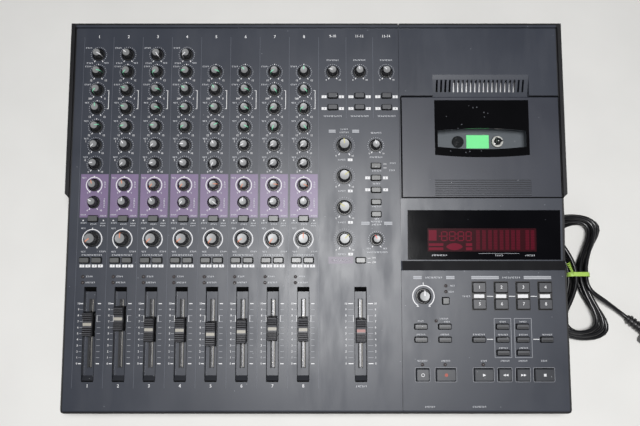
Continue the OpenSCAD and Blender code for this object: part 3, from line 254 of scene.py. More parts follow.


# material name, colour, roughness, grain, bump, cloud, speck amount, speck spread, speck colour, further
# values; the specks are dust, and painted glints on the slot metal
looks = {
    # the panel's edge colour is painted shade on the case's edges and the deck's step
    "panel": ("panelSlate", (46, 50, 60), 0.4, 1700, 0.2, 0.07, 0.012, 330, (104, 107, 114),
              {"smear": 0.07, "edge": (17, 17, 20)}),
    "lid": ("lidSlate", (45, 48, 58), 0.4, 1700, 0.2, 0.07, 0.012, 330, (104, 107, 114), {"smear": 0.07}),
    # the tray's dark colour is partly painted shade on the sides of the case
    "tray": ("trayGrain", (29, 30, 34), 0.55, 1300, 0.35, 0.12),
    "rear": ("rearPlate", (36, 37, 41), 0.5, 900, 0.1, 0.1, {"rub": 0.15}),
    "rubber": ("softRubber", (22, 22, 23), 0.75, 1100, 0.4, 0.15, 0.05),
    "screw": ("screwSteel", (150, 150, 152), 0.32, 600, 0.1, 0.1, {"metal": 1, "rub": 0.3}),
    "board": ("boardGreen", (52, 92, 56), 0.42, 700, 0.1, 0.15),
    "iron": ("coreIron", (120, 120, 124), 0.45, 500, 0.2, 0.15, {"metal": 1, "rub": 0.3}),
    "control": ("controlMetal", (188, 188, 186), 0.3, 800, 0.08, 0.1, {"metal": 1, "rub": 0.2}),
    "knob": ("knobBlack", (20, 20, 22), 0.36, 1500, 0.1, 0.12, 0.03, 420, (80, 82, 86)),
    "cap": ("capGrey", (126, 127, 128), 0.4, 1300, 0.08, 0.12, 0.03, 420, (150, 152, 154), {"metal": 0.15}),
    "fader": ("faderGrey", (70, 70, 74), 0.42, 1500, 0.15, 0.15, 0.04, 420, (120, 122, 126)),
    "cream": ("indexCream", (158, 154, 144), 0.5, 1100, 0.1, 0.08),
    "reddish": ("indexRed", (150, 104, 100), 0.5, 1100, 0.1, 0.08),
    "pale": ("buttonPale", (82, 83, 83), 0.36, 1400, 0.1, 0.1, 0.03, 420),
    "mid": ("buttonMid", (66, 67, 71), 0.38, 1400, 0.1, 0.1, 0.03, 420),
    "dark": ("keyDark", (52, 54, 59), 0.38, 1500, 0.15, 0.1, 0.03, 420),
    "lamp": ("lampGrey", (72, 64, 66), 0.28, 900, 0.05, 0.12, {"coat": 0.4}),
    "ring": ("lampRing", (14, 14, 15), 0.5, 1200, 0.1, 0.1),
    "glass": ("displayGlass", (8, 8, 11), 0.12, 500, 0.02, 0.15, 0.02, 300, (50, 52, 56), {"gloss": 0.13}),
    "tube": ("tubeRed", (44, 2, 11), 0.4, 700, 0.03, 0.12, {"gloss": 0.06}),
    "segment": ("segmentRed", (98, 10, 34), 0.4, 900, 0.03, 0.1, {"gloss": 0.06}),
    "bars": ("barRed", (78, 7, 26), 0.4, 900, 0.03, 0.1, {"gloss": 0.06}),
    "window": ("windowBlack", (8, 8, 10), 0.12, 500, 0.02, 0.15, 0.14, 250, (84, 86, 90), {"gloss": 0.22}),
    "clear": ("windowClear", (50, 55, 58), 0.12, 700, 0.03, 0.1, 0.1, 240, {"alpha": 0.1}),
    "well": ("wellGrey", (96, 102, 108), 0.5, 1200, 0.2, 0.12, 0.05, 300),
    # the green plate's glow is painted light that brightens it
    "green": ("plateGreen", (120, 238, 150), 0.4, 900, 0.05, 0.08, {"glow": 0.36}),
    "hubDark": ("hubDark", (13, 13, 14), 0.2, 900, 0.1, 0.1),
    "hubLight": ("hubLight", (222, 222, 216), 0.35, 900, 0.08, 0.06),
    "head": ("headSteel", (176, 178, 180), 0.25, 700, 0.06, 0.1, {"metal": 1, "rub": 0.2}),
    "chassis": ("chassisSteel", (150, 150, 152), 0.4, 600, 0.12, 0.12, {"metal": 1, "rub": 0.3}),
    "brass": ("wheelBrass", (176, 152, 96), 0.3, 700, 0.08, 0.1, {"metal": 1, "rub": 0.25}),
    "socket": ("socketBlack", (30, 30, 32), 0.4, 1100, 0.1, 0.12),
    "cord": ("cordBlack", (13, 13, 16), 0.3, 900, 0.08, 0.15, 0.03, 380, (70, 72, 74)),
    "tie": ("tieGreen", (165, 200, 90), 0.4, 900, 0.1, 0.15),
    "plug": ("plugBlack", (22, 22, 24), 0.4, 1200, 0.2, 0.12, 0.04, 380, (80, 82, 84)),
    "blade": ("bladeMetal", (196, 190, 172), 0.26, 800, 0.06, 0.1, {"metal": 1, "rub": 0.25}),
    "white": ("inkWhite", (214, 214, 216), 0.55, 1800, 0.05, 0.08),
    "dim": ("inkGrey", (136, 138, 144), 0.5, 1800, 0.05, 0.08),
    "line": ("inkLine", (80, 84, 94), 0.45, 1800, 0.05, 0.08),
    "violet": ("inkViolet", (112, 95, 127), 0.42, 1700, 0.15, 0.08),
    "mauve": ("inkMauve", (84, 73, 92), 0.42, 1700, 0.15, 0.08),
    # the pot metal's light specks are painted glints on the metal seen in the slots
    "pot": ("potMetal", (92, 92, 94), 0.36, 900, 0.1, 0.2, 0.6, 480, (196, 193, 184),
            {"metal": 0.5, "rub": 0.5}),
    # the glint finish is a painted highlight, a light specked strip standing in for lit slot metal
    "glint": ("glintMetal", (138, 135, 129), 0.45, 1400, 0.15, 0.3, 0.5, 620, (205, 202, 194),
              {"metal": 0.15}),
    # black in gaps, grooves and recesses is painted shade
    "gap": ("gapBlack", (8, 8, 9), 0.85, 1500, 0.1, 0.12, {"gloss": 0.08}),
    "soft": ("inkSoft", (190, 192, 197), 0.55, 1800, 0.05, 0.08),
    # light strips on the crests of the knobs' flutes are a painted highlight
    "ridge": ("knobRidge", (50, 50, 53), 0.34, 1500, 0.08, 0.12),
    # dark strips beside the fader slots, and painted shade in the lid's grip grooves
    "trim": ("slotFelt", (34, 35, 38), 0.7, 1200, 0.3, 0.15, 0.06, 420),
    # the darker well floors and the near half of the locate buttons are painted shade
    "cup": ("wellBlack", (25, 26, 29), 0.4, 1500, 0.12, 0.1),
    "black": ("inkBlack", (16, 16, 18), 0.5, 1500, 0.1, 0.12),
    "red": ("inkRed", (158, 66, 50), 0.5, 1500, 0.05, 0.08),
    "mint": ("pointerMint", (120, 196, 160), 0.45, 1500, 0.05, 0.08),
    "peach": ("pointerPeach", (196, 126, 100), 0.5, 1500, 0.05, 0.08),
    "yellow": ("pointerYellow", (172, 168, 112), 0.5, 1500, 0.05, 0.08),
    "scarlet": ("pointerRed", (206, 60, 54), 0.45, 1500, 0.05, 0.08),
    "floor": ("floorPale", (226, 225, 222), 0.85, 300, 0.05, 0.02),
}
finish = {}
for key, row in looks.items():
    plain = [value for value in row if not isinstance(value, dict)]
    further = row[-1] if isinstance(row[-1], dict) else {}
    finish[key] = plastic(*plain, **further)
print("materials made")

# finish of the CAD nodes; knobs and faders not listed go by their names, and the rest is dark
cadNodes = {
    "tray": "bottom_case", "panel": "mixer_cover deck_cover", "rear": "rear_panel",
    "rubber": "feet cord_gland", "screw": "case_screws", "board": "mixer_board deck_board",
    "iron": "transformer drive_motor", "control": "rotary_pots", "pot": "slide_pots",
    "knob": "channel_knobs pan_knobs", "lamp": "indicator_lamps", "glass": "display_lens",
    "tube": "display_tube", "lid": "lid", "window": "lid_window", "well": "cassette_well",
    "green": "green_plate", "hubDark": "supply_hub takeup_hub", "head": "head_carriage",
    "chassis": "deck_chassis", "brass": "flywheel", "socket": "socket_jacks",
    "cord": "cord_runs cord_hank", "tie": "cord_tie", "plug": "mains_plug",
    "pale": "flip_buttons assign_buttons monitor_buttons", "mid": "stereo_in_buttons",
}
cadFinish = {name: key for key, names in cadNodes.items() for name in names.split()}
for nodeName, node in nodes.items():
    byName = "knob" if "_knob" in nodeName else "fader" if "fader" in nodeName else "dark"
    node.data.materials.clear()
    node.data.materials.append(finish[cadFinish.get(nodeName, byName)])
print("frame painted")


# mesh helpers
def addPiece(name, mesh, body, *materials):
    piece = bpy.data.objects.new(name, mesh)
    scene.collection.objects.link(piece)
    for key in materials:
        mesh.materials.append(finish[key])
    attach(piece, body)
    return piece


def standIn(piece, node):
    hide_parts(node)
    return piece


def jointPiece(node, suffix, body, slot, parts, angle, *materials):
    # joined parts that stand in for a moving node
    mesh = joinMeshes(node, parts, angle)
    piece = addPiece(node.replace("_", "") + suffix, mesh, node + body, *materials)
    return standIn(piece, node)


def smooth(mesh, angle=35):
    mesh.polygons.foreach_set("use_smooth", [True] * len(mesh.polygons))
    mesh.set_sharp_from_angle(angle=radians(angle))
    return mesh


def meshFrom(name, points, polygons, angle=35):
    mesh = bpy.data.meshes.new(name)
    mesh.from_pydata([Vector(p) * mm for p in points], [], polygons)
    work = bmesh.new()
    work.from_mesh(mesh)
    bmesh.ops.recalc_face_normals(work, faces=work.faces)
    work.to_mesh(mesh)
    work.free()
    return smooth(mesh, angle)


def bridge(pairs, n):
    # quads between pairs of rings, each of n points
    steps = [(k, (k + 1) % n) for k in range(n)]
    return [(i * n + k, i * n + m, j * n + m, j * n + k) for i, j in pairs for k, m in steps]


def turnsOf(count):
    return [2 * pi * k / count for k in range(count)]


def chain(count):
    return [(i, i + 1) for i in range(count - 1)]


def lathe(name, rings, segments=24, flute=None, angle=35):
    # rings of (radius, height) or, with flutes, (radius, height, share of the flute depth)
    points = []
    for radius, height, *share in rings:
        for k, turn in enumerate(turnsOf(segments)):
            r = radius - flute(k) * share[0] if flute else radius
            points.append((r * sin(turn), r * cos(turn), height))
    polygons = bridge(chain(len(rings)), segments)
    polygons.append(tuple(range(segments)))
    polygons.append(tuple((len(rings) - 1) * segments + k for k in reversed(range(segments))))
    return meshFrom(name, points, polygons, angle)


def hoop(name, rings, segments):
    # ring of revolution with a closed profile of (radius, height)
    points = [(r * sin(a), r * cos(a), h) for r, h in rings for a in turnsOf(segments)]
    return meshFrom(name, points, bridge(chain(len(rings)) + [(len(rings) - 1, 0)], segments))


def ringOf(name, outer, inner, low, high):
    # closed flat ring between two outlines of one length
    profile = ((outer, low), (outer, high), (inner, high), (inner, low))
    points = [(x, y, h) for outline, h in profile for x, y in outline]
    return meshFrom(name, points, bridge(chain(4) + [(3, 0)], len(outer)))


def roundedOutline(width, length, radius, steps=3):
    outline = []
    for cx, cy, start in ((1, 1, 0), (-1, 1, 90), (-1, -1, 180), (1, -1, 270)):
        x, y = cx * (width / 2 - radius), cy * (length / 2 - radius)
        for k in range(steps + 1):
            a = radians(start + 90 * k / steps)
            outline.append((x + radius * cos(a), y + radius * sin(a)))
    return outline


def border(name, width, length, thick, radius, high):
    # flat frame round a rectangle
    outer = roundedOutline(width + 2 * thick, length + 2 * thick, radius + thick, 2)
    return ringOf(name, outer, roundedOutline(width, length, radius, 2), inkLow, high)


def layered(name, layers, angle=35):
    # stacked outlines (outline, height), closed at both ends
    n = len(layers[0][0])
    points = [(x, y, h) for outline, h in layers for x, y in outline]
    polygons = [tuple(range(n)), tuple(range((len(layers) - 1) * n, len(layers) * n))]
    return meshFrom(name, points, polygons + bridge(chain(len(layers)), n), angle)


def prism(name, outline, low, high):
    return layered(name, [(outline, low), (outline, high)])


def joinMeshes(name, parts, angle=35):
    # one mesh from (mesh, matrix) or (mesh, matrix, material index)
    work = bmesh.new()
    for part in parts:
        copy = part[0].copy()
        copy.transform(part[1])
        if len(part) > 2:
            copy.polygons.foreach_set("material_index", [part[2]] * len(copy.polygons))
        work.from_mesh(copy)
        bpy.data.meshes.remove(copy)
    mesh = bpy.data.meshes.new(name)
    work.to_mesh(mesh)
    work.free()
    return smooth(mesh, angle)


# soft edge of a pad as (inset, drop), in shares of its crown, and the stem below it
padSettings = {"edge": ((0, 1), (0.5, 0.35), (1.6, 0)), "angle": 12, "stemSide": 3, "stemOverlap": 0.2}


def pad(name, width, length, low, high, radius, crown, stem=None):
    # cap with rounded corners, a soft top edge and, for a button, its stem
    s = padSettings
    layers = [(roundedOutline(width, length, radius), low)]
    for inset, drop in s["edge"]:
        outline = roundedOutline(width - inset * crown, length - inset * crown, radius)
        layers.append((outline, high - drop * crown))
    cap = layered(name, layers, s["angle"])
    if stem is None:
        return cap
    foot = roundedOutline(s["stemSide"], s["stemSide"], 0.3, 1)
    post = prism(name + "Stem", foot, stem, low + s["stemOverlap"])
    return joinMeshes(name, [(cap, Matrix()), (post, Matrix())], s["angle"])


# printed marks reach from just below the panel to just above it
inkLow, inkHigh = -0.02, 0.05
square = [(-0.5, -0.5), (0.5, -0.5), (0.5, 0.5), (-0.5, 0.5)]
thinPlate = prism("inkPlate", square, inkLow, inkHigh)
# rings stop just short of a full turn
fullTurn = 359.9


def piercedPlate(name, width, length, holes, radius, steps=32):
    # thin plate with a row of round holes, from the far one to the near one
    ends = [length / 2] + [(a[1] + b[1]) / 2 for a, b in zip(holes, holes[1:])] + [-length / 2]
    parts = []
    for (x, y), far, near in zip(holes, ends, ends[1:]):
        turns = [pi * (2 * k + 0.5) / steps - pi for k in range(steps)]
        turns += [atan2(cy - y, cx - x) for cx in (-width / 2, width / 2) for cy in (far, near)]
        outer, inner = [], []
        for a in sorted(turns):
            c, s = cos(a), sin(a)
            reach = min((copysign(width / 2, c) - x) / c, ((far if s > 0 else near) - y) / s)
            outer.append((x + reach * c, y + reach * s))
            inner.append((x + radius * c, y + radius * s))
        parts.append((ringOf(name + "Half", outer, inner, inkLow, inkHigh), Matrix()))
    return joinMeshes(name, parts)


def ringOutline(radius, thick, start, end, steps):
    angles = [radians(start + (end - start) * k / steps) for k in range(steps + 1)]
    outer, inner = radius + thick / 2, radius - thick / 2
    outline = [(outer * sin(a), outer * cos(a)) for a in angles]
    return outline + [(inner * sin(a), inner * cos(a)) for a in reversed(angles)]


def arcMesh(name, radius, thick, start, end, low=inkLow, high=inkHigh, steps=24):
    outline = ringOutline(radius, thick, start, end, steps)
    n = len(outline)
    points = [(x, y, h) for h in (low, high) for x, y in outline]
    polygons = []
    for k in range(steps):
        quad = (k, k + 1, n - 2 - k, n - 1 - k)
        polygons += [quad, tuple(n + i for i in quad)]
    return meshFrom(name, points, polygons + bridge([(0, 1)], n))


numeralSettings = {"size": 1.4, "extrude": 0.03, "bold": 0.018}


def textMesh(text):
    curve = bpy.data.curves.new("numeral", "FONT")
    curve.body = text
    curve.align_x = "CENTER"
    curve.align_y = "CENTER"
    curve.size = numeralSettings["size"] * mm
    curve.extrude = numeralSettings["extrude"] * mm
    curve.offset = numeralSettings["bold"] * mm
    curve.resolution_u = 2
    holder = bpy.data.objects.new("numeral", curve)
    scene.collection.objects.link(holder)
    mesh = bpy.data.meshes.new_from_object(holder.evaluated_get(bpy.context.evaluated_depsgraph_get()))
    bpy.data.objects.remove(holder)
    bpy.data.curves.remove(curve)
    return mesh


# one tree sets a part on many points, turned and stretched by the points' own values
def buildSetTree():
    kinds = {"Points": "Geometry", "Part": "Object", "Tilt": "Float", "Finish": "Material"}
    inputs = [(label, kind, None) for label, kind in kinds.items()]
    tree, start, end, sockets = newTree("setOnPoints", "GeometryNodeTree", inputs, [("Set", "Geometry")])

    def pointValue(name, kind):
        return addNode(tree, "GeometryNodeInputNamedAttribute", {"Name": name}, data_type=kind)["Attribute"]

    def turned(axis, angle):
        euler = addNode(tree, "ShaderNodeCombineXYZ", {axis: angle})[0]
        return addNode(tree, "FunctionNodeEulerToRotation", {0: euler})[0]

    turns = {0: turned("X", start["Tilt"]), 1: turned("Z", pointValue("turn", "FLOAT"))}
    parts = addNode(tree, "GeometryNodeInstanceOnPoints", {
        "Points": start["Points"],
        "Instance": addNode(tree, "GeometryNodeObjectInfo", {"Object": start["Part"]})["Geometry"],
        "Rotation": addNode(tree, "FunctionNodeRotateRotation", turns, rotation_space="LOCAL")[0],
        "Scale": pointValue("stretch", "FLOAT_VECTOR"),
    })
    real = addNode(tree, "GeometryNodeRealizeInstances", {0: parts[0]})[0]
    painted = addNode(tree, "GeometryNodeSetMaterial", {"Geometry": real, "Material": start["Finish"]})
    tree.links.new(painted[0], end[0])
    return tree, sockets


setTree, setSockets = buildSetTree()


def spot(u, v, w=0, turn=0, stretch=one):
    return (u, v, w, turn, stretch)


def setOnPoints(name, partMesh, spots, key, body="case", face="panel"):
    # spots of (u, v, w, turn in degrees, stretch)
    holder = bpy.data.objects.new(name + "Part", partMesh)
    mesh = bpy.data.meshes.new(name + "Points")
    mesh.from_pydata([at(*s[:3], face) for s in spots], [], [])
    turns = mesh.attributes.new("turn", "FLOAT", "POINT")
    turns.data.foreach_set("value", [radians(s[3]) for s in spots])
    stretches = mesh.attributes.new("stretch", "FLOAT_VECTOR", "POINT")
    stretches.data.foreach_set("vector", [c for s in spots for c in s[4]])
    carrier = bpy.data.objects.new(name + "Carrier", mesh)
    scene.collection.objects.link(carrier)
    modifier = carrier.modifiers.new("set", "NODES")
    modifier.node_group = setTree
    modifier[setSockets["Part"]] = holder
    modifier[setSockets["Tilt"]] = faces[face][1]
    modifier[setSockets["Finish"]] = finish[key]
    result = bpy.data.meshes.new_from_object(carrier.evaluated_get(bpy.context.evaluated_depsgraph_get()))
    result.name = name
    for label in ("turn", "stretch"):
        if label in result.attributes:
            result.attributes.remove(result.attributes[label])
    bpy.data.objects.remove(carrier)
    bpy.data.objects.remove(holder)
    return addPiece(name, result, body)


# mains cord: lead from the gland, tied hank and tail to the plug
cordSettings = {
    "radius": 2.3,
    "exit": (225, 216.034, 26),
    "lead": [
        (225, 222, 25), (230, 234, 20), (243, 239, 13), (256, 238, 7), (268, 232, 3.5), (273, 219, 2.5),
        (272, 196, 2.5), (270, 160, 2.5), (269, 110, 2.5), (268, 70, 2.5), (268, 34, 2.5), (273.5, 18.5, 2.5),
    ],
    "hankAt": (287, -55),
    "base": 60.8,
    "grow": 5.4,
    "waist": 1.35,
    "step": 5.4,
    "lobe": 39.2,
    "fan": 12.9,
    "bow": 9.6,
    "lean": 4.7,
    "layer": 5.5,
    "lift": 1.6,
    "floorGap": 0.2,
    "lastTurn": 5.25,
    "turnSteps": 48,
    "curveSteps": 8,
    "reversals": (1.25, 2.75, 4.25),
    "climb": 0.29,
    "tail": [(294.5, -66, 20.9), (297.6, -72.2, 20.7), (303.2, -77, 19.6), (315, -84.2, 15.5)],
    "plugAt": (338, -100, 8.5),
    "plugTurn": -40,
    "plugRun": 12,
}


def smoothCurve(points):
    # curve through all the points
    result = []
    steps = cordSettings["curveSteps"]
    for i in range(len(points) - 1):
        a, b = points[max(i - 1, 0)], points[i]
        c, d = points[i + 1], points[min(i + 2, len(points) - 1)]
        for k in range(steps):
            t = k / steps
            bend = (2 * a - 5 * b + 4 * c - d) * t * t
            twist = (3 * b - a - 3 * c + d) * t * t * t
            result.append(0.5 * (2 * b + (c - a) * t + bend + twist))
    return result + [points[-1]]


def hankPoint(t):
    # the turns narrow and widen between the reversals and rise a layer at each of them
    s = cordSettings
    turn = 2 * pi * t
    first, second, third = s["reversals"]
    out = abs(t - first) if t < second else abs(t - third)
    level = 0
    for mark in s["reversals"]:
        y = min(max((t - mark + s["climb"]) / (2 * s["climb"]), 0), 1)
        level += y * y * (3 - 2 * y)
    waist, lobe = s["waist"] + out * s["step"], s["lobe"] + out * s["fan"]
    apart = cos(turn) ** 2
    lean = (s["bow"] - s["lean"] * level) * apart
    x = s["hankAt"][0] + sin(turn) * (waist + lobe * apart) + lean
    y = s["hankAt"][1] + (s["base"] + out * s["grow"]) * cos(turn)
    z = s["radius"] + s["floorGap"] + level * s["layer"] + s["lift"] * sin(turn) ** 4
    return Vector((x, y, z))


def buildCord():
    s = cordSettings
    count = round(s["lastTurn"] * s["turnSteps"])
    loops = [hankPoint(i / s["turnSteps"]) for i in range(count + 1)]
    thick = 2 * s["radius"]
    first, last = loops[0] - Vector((thick, 0, 0)), loops[-1] - Vector((0, thick, 0))
    lead = smoothCurve([Vector(p) for p in [s["exit"]] + s["lead"]] + [first])
    turn = radians(s["plugTurn"])
    plugWay = Vector((cos(turn), sin(turn), 0))
    plugAt = Vector(s["plugAt"])
    tail = [last] + [Vector(p) for p in s["tail"]] + [plugAt - s["plugRun"] * plugWay, plugAt]
    path = [p * mm for p in lead + loops + smoothCurve(tail)]
    curve = bpy.data.curves.new("mainsCord", "CURVE")
    curve.dimensions = "3D"
    curve.bevel_depth = s["radius"] * mm
    curve.bevel_resolution = 3
    curve.use_fill_caps = True
    spline = curve.splines.new("POLY")
    spline.points.add(len(path) - 1)
    spline.points.foreach_set("co", [c for p in path for c in (*p, 1)])
    spline.use_smooth = True
    curve.materials.append(finish["cord"])
    piece = bpy.data.objects.new("mainsCord", curve)
    scene.collection.objects.link(piece)
    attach(piece, "case")
    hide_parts("cord_runs", "cord_hank")
    length = sum((b - a).length for a, b in zip(path, path[1:]))
    print("cord length", round(length, 3))
    return piece, path[0], length


mainsCord, cordExit, cordLength = buildCord()

plugSettings = {
    "relief": 24,
    "neck": 3.6,
    "spread": 1.4,
    "endRadius": 5,
    "ribRadius": 5.2,
    "ribs": 5,
    "firstRib": 3,
    "ribPitch": 4.4,
    "body": (26, 24, 16),
    "corner": 3.2,
    "blade": (19, 1.5, 6.4),
    "bladeGap": 12.7,
}


def buildPlug():
    s = plugSettings
    along = Matrix.Rotation(pi / 2, 4, "Y")
    rings = [(s["neck"], 0)]
    for i in range(s["ribs"]):
        x = s["firstRib"] + s["ribPitch"] * i
        core = s["neck"] + s["spread"] * x / s["relief"]
        rib = s["ribRadius"]
        rings += [(core, x - 0.3), (rib, x + 0.1), (rib, x + 2), (core + 0.05, x + 2.4)]
    rings.append((s["endRadius"], s["relief"]))
    relief = lathe("plugRelief", rings, 20)
    length, width, height = s["body"]
    shape = []
    for share, x in ((0.8, 0), (0.96, 1.2), (1, 4), (0.97, length - 2), (0.9, length)):
        shape.append((roundedOutline(height * share, width * share, s["corner"]), s["relief"] - 1 + x))
    bladeLong, bladeThick, bladeWide = s["blade"]
    blade = pad("plugBlade", bladeWide, bladeThick, 0, bladeLong, 0.4, 0.5)
    parts = [(relief, along, 0), (layered("plugBody", shape), along, 0)]
    for side in (-1, 1):
        parts.append((blade, shift(s["relief"] + length - 2, side * s["bladeGap"] / 2) @ along, 1))
    mesh = joinMeshes("mainsPlug", parts)
    mesh.transform(shift(*cordSettings["plugAt"]) @ spun(cordSettings["plugTurn"]))
    return standIn(addPiece("mainsPlug", mesh, "case", "plug", "blade"), "mains_plug")


mainsPlug = buildPlug()

tieSettings = {
    "low": 0.35,
    "top": 24.4,
    "left": 273.5,
    "right": 297.9,
    "width": 4.6,
    "thick": 0.7,
    "corner": 5,
    "endAt": (278.7, -55, 24.2),
    "endWay": (-0.4, 0.9, 0.17),
    "endLength": 13.5,
    "endTurns": 3,
    "endSteps": 32,
    "endHalf": (1.1, 0.25),
}


def tieEnd(phase):
    # flat strand wound round the line of the twisted ends
    s = tieSettings
    start, way = Vector(s["endAt"]), Vector(s["endWay"]).normalized()
    side = way.cross(Vector((0, 0, 1))).normalized()
    over = side.cross(way)
    wide, thin = s["endHalf"]
    points = []
    for i in range(s["endSteps"] + 1):
        share = i / s["endSteps"]
        turn = phase + 2 * pi * s["endTurns"] * share
        reach = 0.55 + 1.6 * share ** 3
        centre = start + way * s["endLength"] * share
        centre += reach * (cos(turn) * side + sin(turn) * over)
        flat = cos(turn + 1.2) * side + sin(turn + 1.2) * over
        edge = way.cross(flat)
        for a, b in ((wide, thin), (wide, -thin), (-wide, -thin), (-wide, thin)):
            points.append(tuple(centre + a * flat + b * edge))
    last = 4 * s["endSteps"]
    polygons = bridge(chain(s["endSteps"] + 1), 4) + [(0, 1, 2, 3), tuple(range(last, last + 4))]
    return meshFrom("tieEnd", points, polygons)


def buildTie():
    # strip bent round the waist of the hank, with two twisted ends
    s = tieSettings
    wide, tall = s["right"] - s["left"], s["top"] - s["low"]
    thick, half = s["thick"], s["width"] / 2
    outer = roundedOutline(wide, tall, s["corner"], 5)
    inner = roundedOutline(wide - 2 * thick, tall - 2 * thick, s["corner"] - thick, 5)
    middle = ((s["left"] + s["right"]) / 2, cordSettings["hankAt"][1], (s["low"] + s["top"]) / 2)
    upright = shift(*middle) @ Matrix.Rotation(pi / 2, 4, "X")
    parts = [(ringOf("tieBand", outer, inner, -half, half), upright)]
    parts += [(tieEnd(phase), Matrix()) for phase in (0, pi)]
    return standIn(addPiece("twistTie", joinMeshes("twistTie", parts), "case", "tie"), "cord_tie")


twistTie = buildTie()
print("cord laid")

# knobs: fluted body, cap, coloured pointer and painted highlights on the ridges of the flutes
knobSettings = {
    "small": {"radius": 4.65, "cap": 3.6, "height": 9.0, "flutes": 14, "depth": 0.6, "pointer": 0.46},
    "big": {"radius": 6.05, "cap": 4.95, "height": 11.0, "flutes": 18, "depth": 0.65, "pointer": 0.6},
}


def knobPointer(kind):
    # bar that follows the cap and the side, seen in profile as (y, z)
    s = knobSettings[kind]
    r, c, h, half = s["radius"], s["cap"], s["height"], s["pointer"]
    upper = [(0.2, h - 0.16), (c * 0.6, h - 0.08), (c - 0.3, h + 0.05), (c + 0.04, h - 0.32)]
    upper += [(c + 0.3, h - 0.72), (r - 0.3, h - 1.0), (r - 0.06, h - 1.7), (r + 0.48, 0.4)]
    lower = [(y - 0.25 if i > 2 else y, z - 0.3) for i, (y, z) in enumerate(upper)]
    points = [(x, y, z) for line in (upper, lower) for x in (-half, half) for y, z in line]
    n = len(upper)
    polygons = []
    for i in range(n - 1):
        for a, b in ((0, 1), (2, 3), (0, 2), (1, 3)):
            polygons.append((a * n + i, a * n + i + 1, b * n + i + 1, b * n + i))
    polygons += [(0, n, 3 * n, 2 * n), (n - 1, 2 * n - 1, 4 * n - 1, 3 * n - 1)]
    return meshFrom(kind + "Pointer", points, polygons)


def knobRidges(kind):
    # thin strips along the crests of the flutes, lighter as a painted highlight
    s = knobSettings[kind]
    r, h, n = s["radius"], s["height"], s["flutes"]
    profile = ((r + 0.36, 0.2), (r + 0.5, 0.3), (r - 0.04, h - 1.75), (r - 0.2, h - 1.7))
    points, polygons = [], []
    for k in range(n):
        turn = 2 * pi * (k + 0.125) / n
        c, d = cos(turn), sin(turn)
        points += [(x * c + y * d, y * c - x * d, z) for y, z in profile for x in (-0.32, 0.32)]
        quads = [(0, 1, 3, 2), (2, 3, 5, 4), (4, 5, 7, 6), (0, 1, 7, 6), (0, 2, 4, 6), (1, 3, 5, 7)]
        polygons += [tuple(8 * k + i for i in quad) for quad in quads]
    return meshFrom(kind + "Ridges", points, polygons)


def knobMeshes(kind):
    s = knobSettings[kind]
    r, c, h = s["radius"], s["cap"], s["height"]
    wave = (0, 0, s["depth"], s["depth"])
    rings = [(r + 0.45, -1.2, 1), (r + 0.45, 0.3, 1), (r - 0.12, h - 1.7, 1)]
    rings += [(r - 0.4, h - 1.05, 0.7), (c + 0.32, h - 0.8, 0), (c + 0.1, h - 0.95, 0)]
    body = lathe(kind + "Body", rings, s["flutes"] * 4, lambda k: wave[k % 4], 50)
    dish = [(c, h - 1.3), (c, h - 0.35), (c - 0.3, h), (c * 0.6, h - 0.12), (0.15, h - 0.2)]
    cap = lathe(kind + "Cap", dish, 28, None, 40)
    return body, cap, smooth(knobPointer(kind), 50), knobRidges(kind)


knobParts = {kind: knobMeshes(kind) for kind in knobSettings}
gainV, cuePanV, cueLevelV, panV, stereoInV = 370.7, 231.3, 213.3, 175.2, 352
toneRows = [351.8 - 19.65 * k for k in range(6)]
stereoIns = [17.4, 45.6, 73.9]
pointerTurns = {
    "gain": [120, -52, 145, -135],
    "tone": [
        [100, -135, -135, -100, 110, -45, -125, 0],
        [-140, -70, 105, -55, -35, 110, 145, 135],
        [0, -75, 105, -90, -80, 115, -120, -130],
        [80, -105, -88, -125, 60, 115, -160, 140],
        [-140, -35, -130, -90, -25, -120, -125, -130],
        [-95, -135, -105, -70, -150, -50, -120, -115],
    ],
    "cuePan": [-15, -10, -140, -140, 90, -150, 100, 120],
    "cueLevel": [-60, 0, -30, -140, 130, -5, -100, 0],
    "pan": [-130, 0, -135, -130, -145, -130, -145, 0],
    "stereoIn": [-75, -15, -45],
}


def knobRow(columns, v, turns, colour):
    return [(u, v, turn, colour) for u, turn in zip(columns, turns)]


smallKnobs = knobRow(strips, gainV, pointerTurns["gain"], "white")
for k, v in enumerate(toneRows):
    smallKnobs += knobRow(strips, v, pointerTurns["tone"][k], "mint" if k < 4 else "white")
cueRows = (
    knobRow(strips, cuePanV, pointerTurns["cuePan"], "peach"),
    knobRow(strips, cueLevelV, pointerTurns["cueLevel"], "white"),
)
smallKnobs += [knob for pair in zip(*cueRows) for knob in pair]
smallKnobs += knobRow(stereoIns, stereoInV, pointerTurns["stereoIn"], "white")
bigKnobs = knobRow(strips, panV, pointerTurns["pan"], "peach")


def fixedKnobs(name, kind, places, node):
    body, cap, pointer, ridges = knobParts[kind]
    spots = [spot(u, v, 0, -turn) for u, v, turn, colour in places]
    standIn(setOnPoints(name + "Bodies", body, spots, "knob"), node)
    setOnPoints(name + "Caps", cap, spots, "cap")
    setOnPoints(name + "Ridges", ridges, spots, "ridge")
    for colour in sorted({p[3] for p in places}):
        chosen = [s for s, p in zip(spots, places) if p[3] == colour]
        setOnPoints(name + "Pointers" + colour.capitalize(), pointer, chosen, colour)


fixedKnobs("channelKnob", "small", smallKnobs, "channel_knobs")
fixedKnobs("panKnob", "big", bigKnobs, "pan_knobs")

